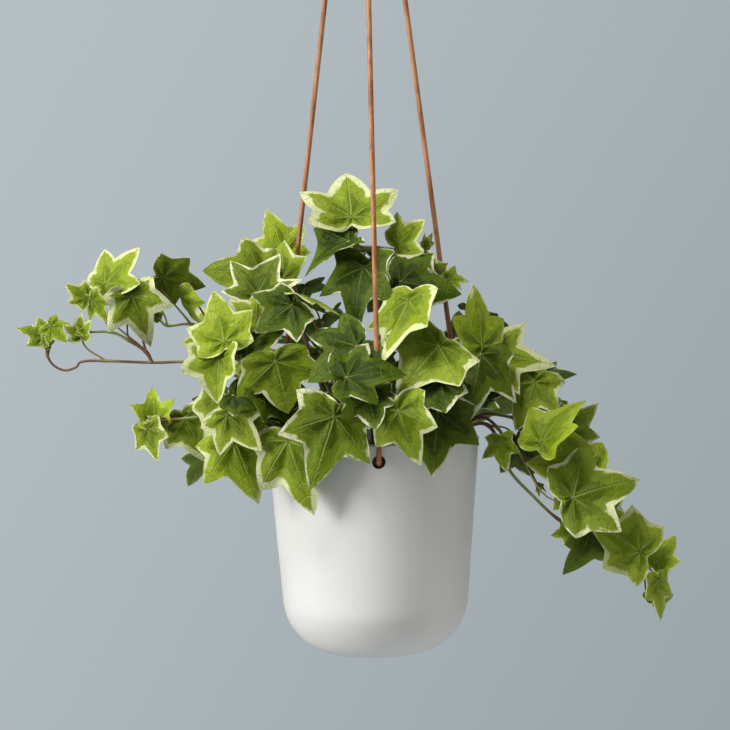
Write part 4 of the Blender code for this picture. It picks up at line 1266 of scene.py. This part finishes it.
@dataclass
class Ivy:
    """Every cutting, each one piece of stem, stalks and blades."""

    finishes: Finishes
    segments: int = 60
    rings: tuple = (0.22, 0.45, 0.66, 0.84, 0.95, 1.0)
    thickness: float = 0.35 * MM
    petiole: float = 1.15 * MM
    eases: tuple = (1.0, 0.75, 0.5, 0.25, 0.0)
    taken: list = field(default_factory=list)

    def build(self) -> None:
        """Grow every cutting in place of its solid."""
        stem, blade = self.finishes.stem(), self.finishes.blade()
        for name in ("pot", "cord_front", "cord_left", "cord_right"):
            self.taken.append(Room(model_shape(name)))
        disc = mesh_of(turned([(0, 0), *((ring, 0) for ring in self.rings)], self.segments), "disc")
        for seed, (name, vine) in enumerate(VINES.items()):
            tree = BVHTree.FromBMesh(model_shape("ivy_" + name))
            shape = bmesh.new()
            shape.loops.layers.uv.new("blade")
            shape.loops.layers.float_color.new("leaf")
            chance = Random(100 + seed)
            tones = cycle(Tone[word.upper()] for word in TONES.get(name, OTHER_TONES).split())
            for runner in vine.runners:
                coarse = runner_points(runner.route, 18 * MM)
                leaves = (drawn_leaves(runner.leaves, vine.facing)
                          or scattered_leaves(coarse, runner.leaf_count, seed))
                for leaf in leaves:
                    join_to_stem(leaf, coarse)
                settled = [leaf.settled(tree) for leaf in leaves]
                self.add_wood(shape, runner_points(runner.route, 2.5 * MM), settled)
                for leaf in settled:
                    self.add_blade(shape, disc, leaf, next(tones), chance)
                for leaf in self.buds(runner_points(runner.route, 2.5 * MM), vine.facing, chance):
                    self.add_blade(shape, disc, leaf, Tone.YOUNG, chance)
            piece = add_piece(name + "_cutting", mesh_of(shape, name), [stem, blade], sharp=75)
            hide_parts("ivy_" + name)
            LOG.info("cutting %s, %d faces", name, len(piece.data.polygons))
        bpy.data.meshes.remove(disc)

    @staticmethod
    def buds(line: list[Vector], facing: tuple, chance: Random) -> list[Leaf]:
        """Return the two half-open leaves at a runner's tip."""
        forward = (line[-1] - line[-2]).normalized()
        aside = forward.cross(Vector(facing)).normalized()
        buds = []
        for way in (-1, 1):
            aim = (forward + aside * way * chance.uniform(0.5, 0.9) + Vector((0, 0, 0.3))).normalized()
            length = chance.uniform(6, 9) * MM
            buds.append(Leaf(line[-1] - forward * 0.5 * MM, line[-1] + aim * length, Vector(facing),
                             way * chance.uniform(35, 60), 0.8))
        return buds

    def add_wood(self, shape: bmesh.types.BMesh, line: list[Vector], leaves: list[Leaf]) -> None:
        """Add a runner's stem, swollen where leaves join it, and the leaves' stalks."""
        radii = []
        for index, point in enumerate(line):
            plain = (STEM + (STEM_TIP - STEM) * index / (len(line) - 1)) / 2
            near = min(((point - leaf.foot).length for leaf in leaves), default=1.0)
            radii.append(plain * (0.86 + 0.30 * max(0.0, 1 - near / (4 * MM))))
        tubes = [curve_of("stem", line, radii, 3)]
        for leaf in leaves:
            points = leaf.stalk(9)
            swell = [self.petiole / 2 * (1 + 0.5 * max(0.0, 1 - index / 2)) for index in range(len(points))]
            tubes.append(curve_of("stalk", points, swell, 2))
        for tube in tubes:
            mesh = mesh_from(tube)
            shape.from_mesh(mesh)
            bpy.data.meshes.remove(mesh)

    def add_blade(self, shape: bmesh.types.BMesh, disc: bpy.types.Mesh, leaf: Leaf, tone: Tone,
                  chance: Random) -> None:
        """Shape one blade on a disc and add it, with its coordinates and its look.

        The blade is eased towards flat step by step until it crosses nothing. One that still
        crosses something when it is flat is kept that way.

        Args:
            shape: the cutting that the blade is added to.
            disc: a flat disc of radius 1.
            leaf: where the blade lies.
            tone: its colouring.
            chance: what its variation is drawn from.
        """
        blade = bmesh.new()
        blade.from_mesh(disc)
        uv = blade.loops.layers.uv.new("blade")
        look = blade.loops.layers.float_color.new("leaf")
        for face in blade.faces:
            face.material_index = 1
            for loop in face.loops:
                loop[uv].uv = (0.5 + 0.5 * loop.vert.co.x, 0.5 + 0.5 * loop.vert.co.y)
        # The tone's first value is the leaf's age and, on shade and mature leaves, painted shade.
        age_and_shade = min(1.0, max(0.0, tone.value[0] + chance.uniform(-0.12, 0.12)))
        cream = min(1.0, max(0.02, tone.value[1] + chance.uniform(-0.22, 0.22)))
        mark = chance.random()
        form = LeafForm(chance)
        flat = [vertex.co.copy() for vertex in blade.verts]
        for ease in self.eases:
            for vertex, place in zip(blade.verts, flat):
                vertex.co = form.bent(leaf, place, ease)
            room = Room(blade)
            if not any(room.crosses(other) for other in self.taken):
                break
        self.taken.append(room)
        bmesh.ops.recalc_face_normals(blade, faces=blade.faces)
        if sum(face.normal.dot(leaf.up) for face in blade.faces) < 0:
            bmesh.ops.reverse_faces(blade, faces=blade.faces)
        bmesh.ops.solidify(blade, geom=blade.faces, thickness=self.thickness)
        for face in blade.faces:
            shown = 1.0 if face.normal.dot(leaf.up) > -0.2 else 0.0
            for loop in face.loops:
                loop[look] = (age_and_shade, cream, mark, shown)
        mesh = mesh_of(blade, "blade")
        shape.from_mesh(mesh)
        bpy.data.meshes.remove(mesh)


def main() -> None:
    """Build the studio and every piece, camera and cords first."""
    logging.basicConfig(level=logging.INFO, format="%(name)s: %(message)s")
    bpy.context.scene.view_settings.view_transform = "Standard"
    finishes = Finishes(grain_group())
    Studio().build()
    HangingGear(finishes).build()
    Pot(finishes).build()
    Ivy(finishes).build()


if __name__ == "__main__":
    main()
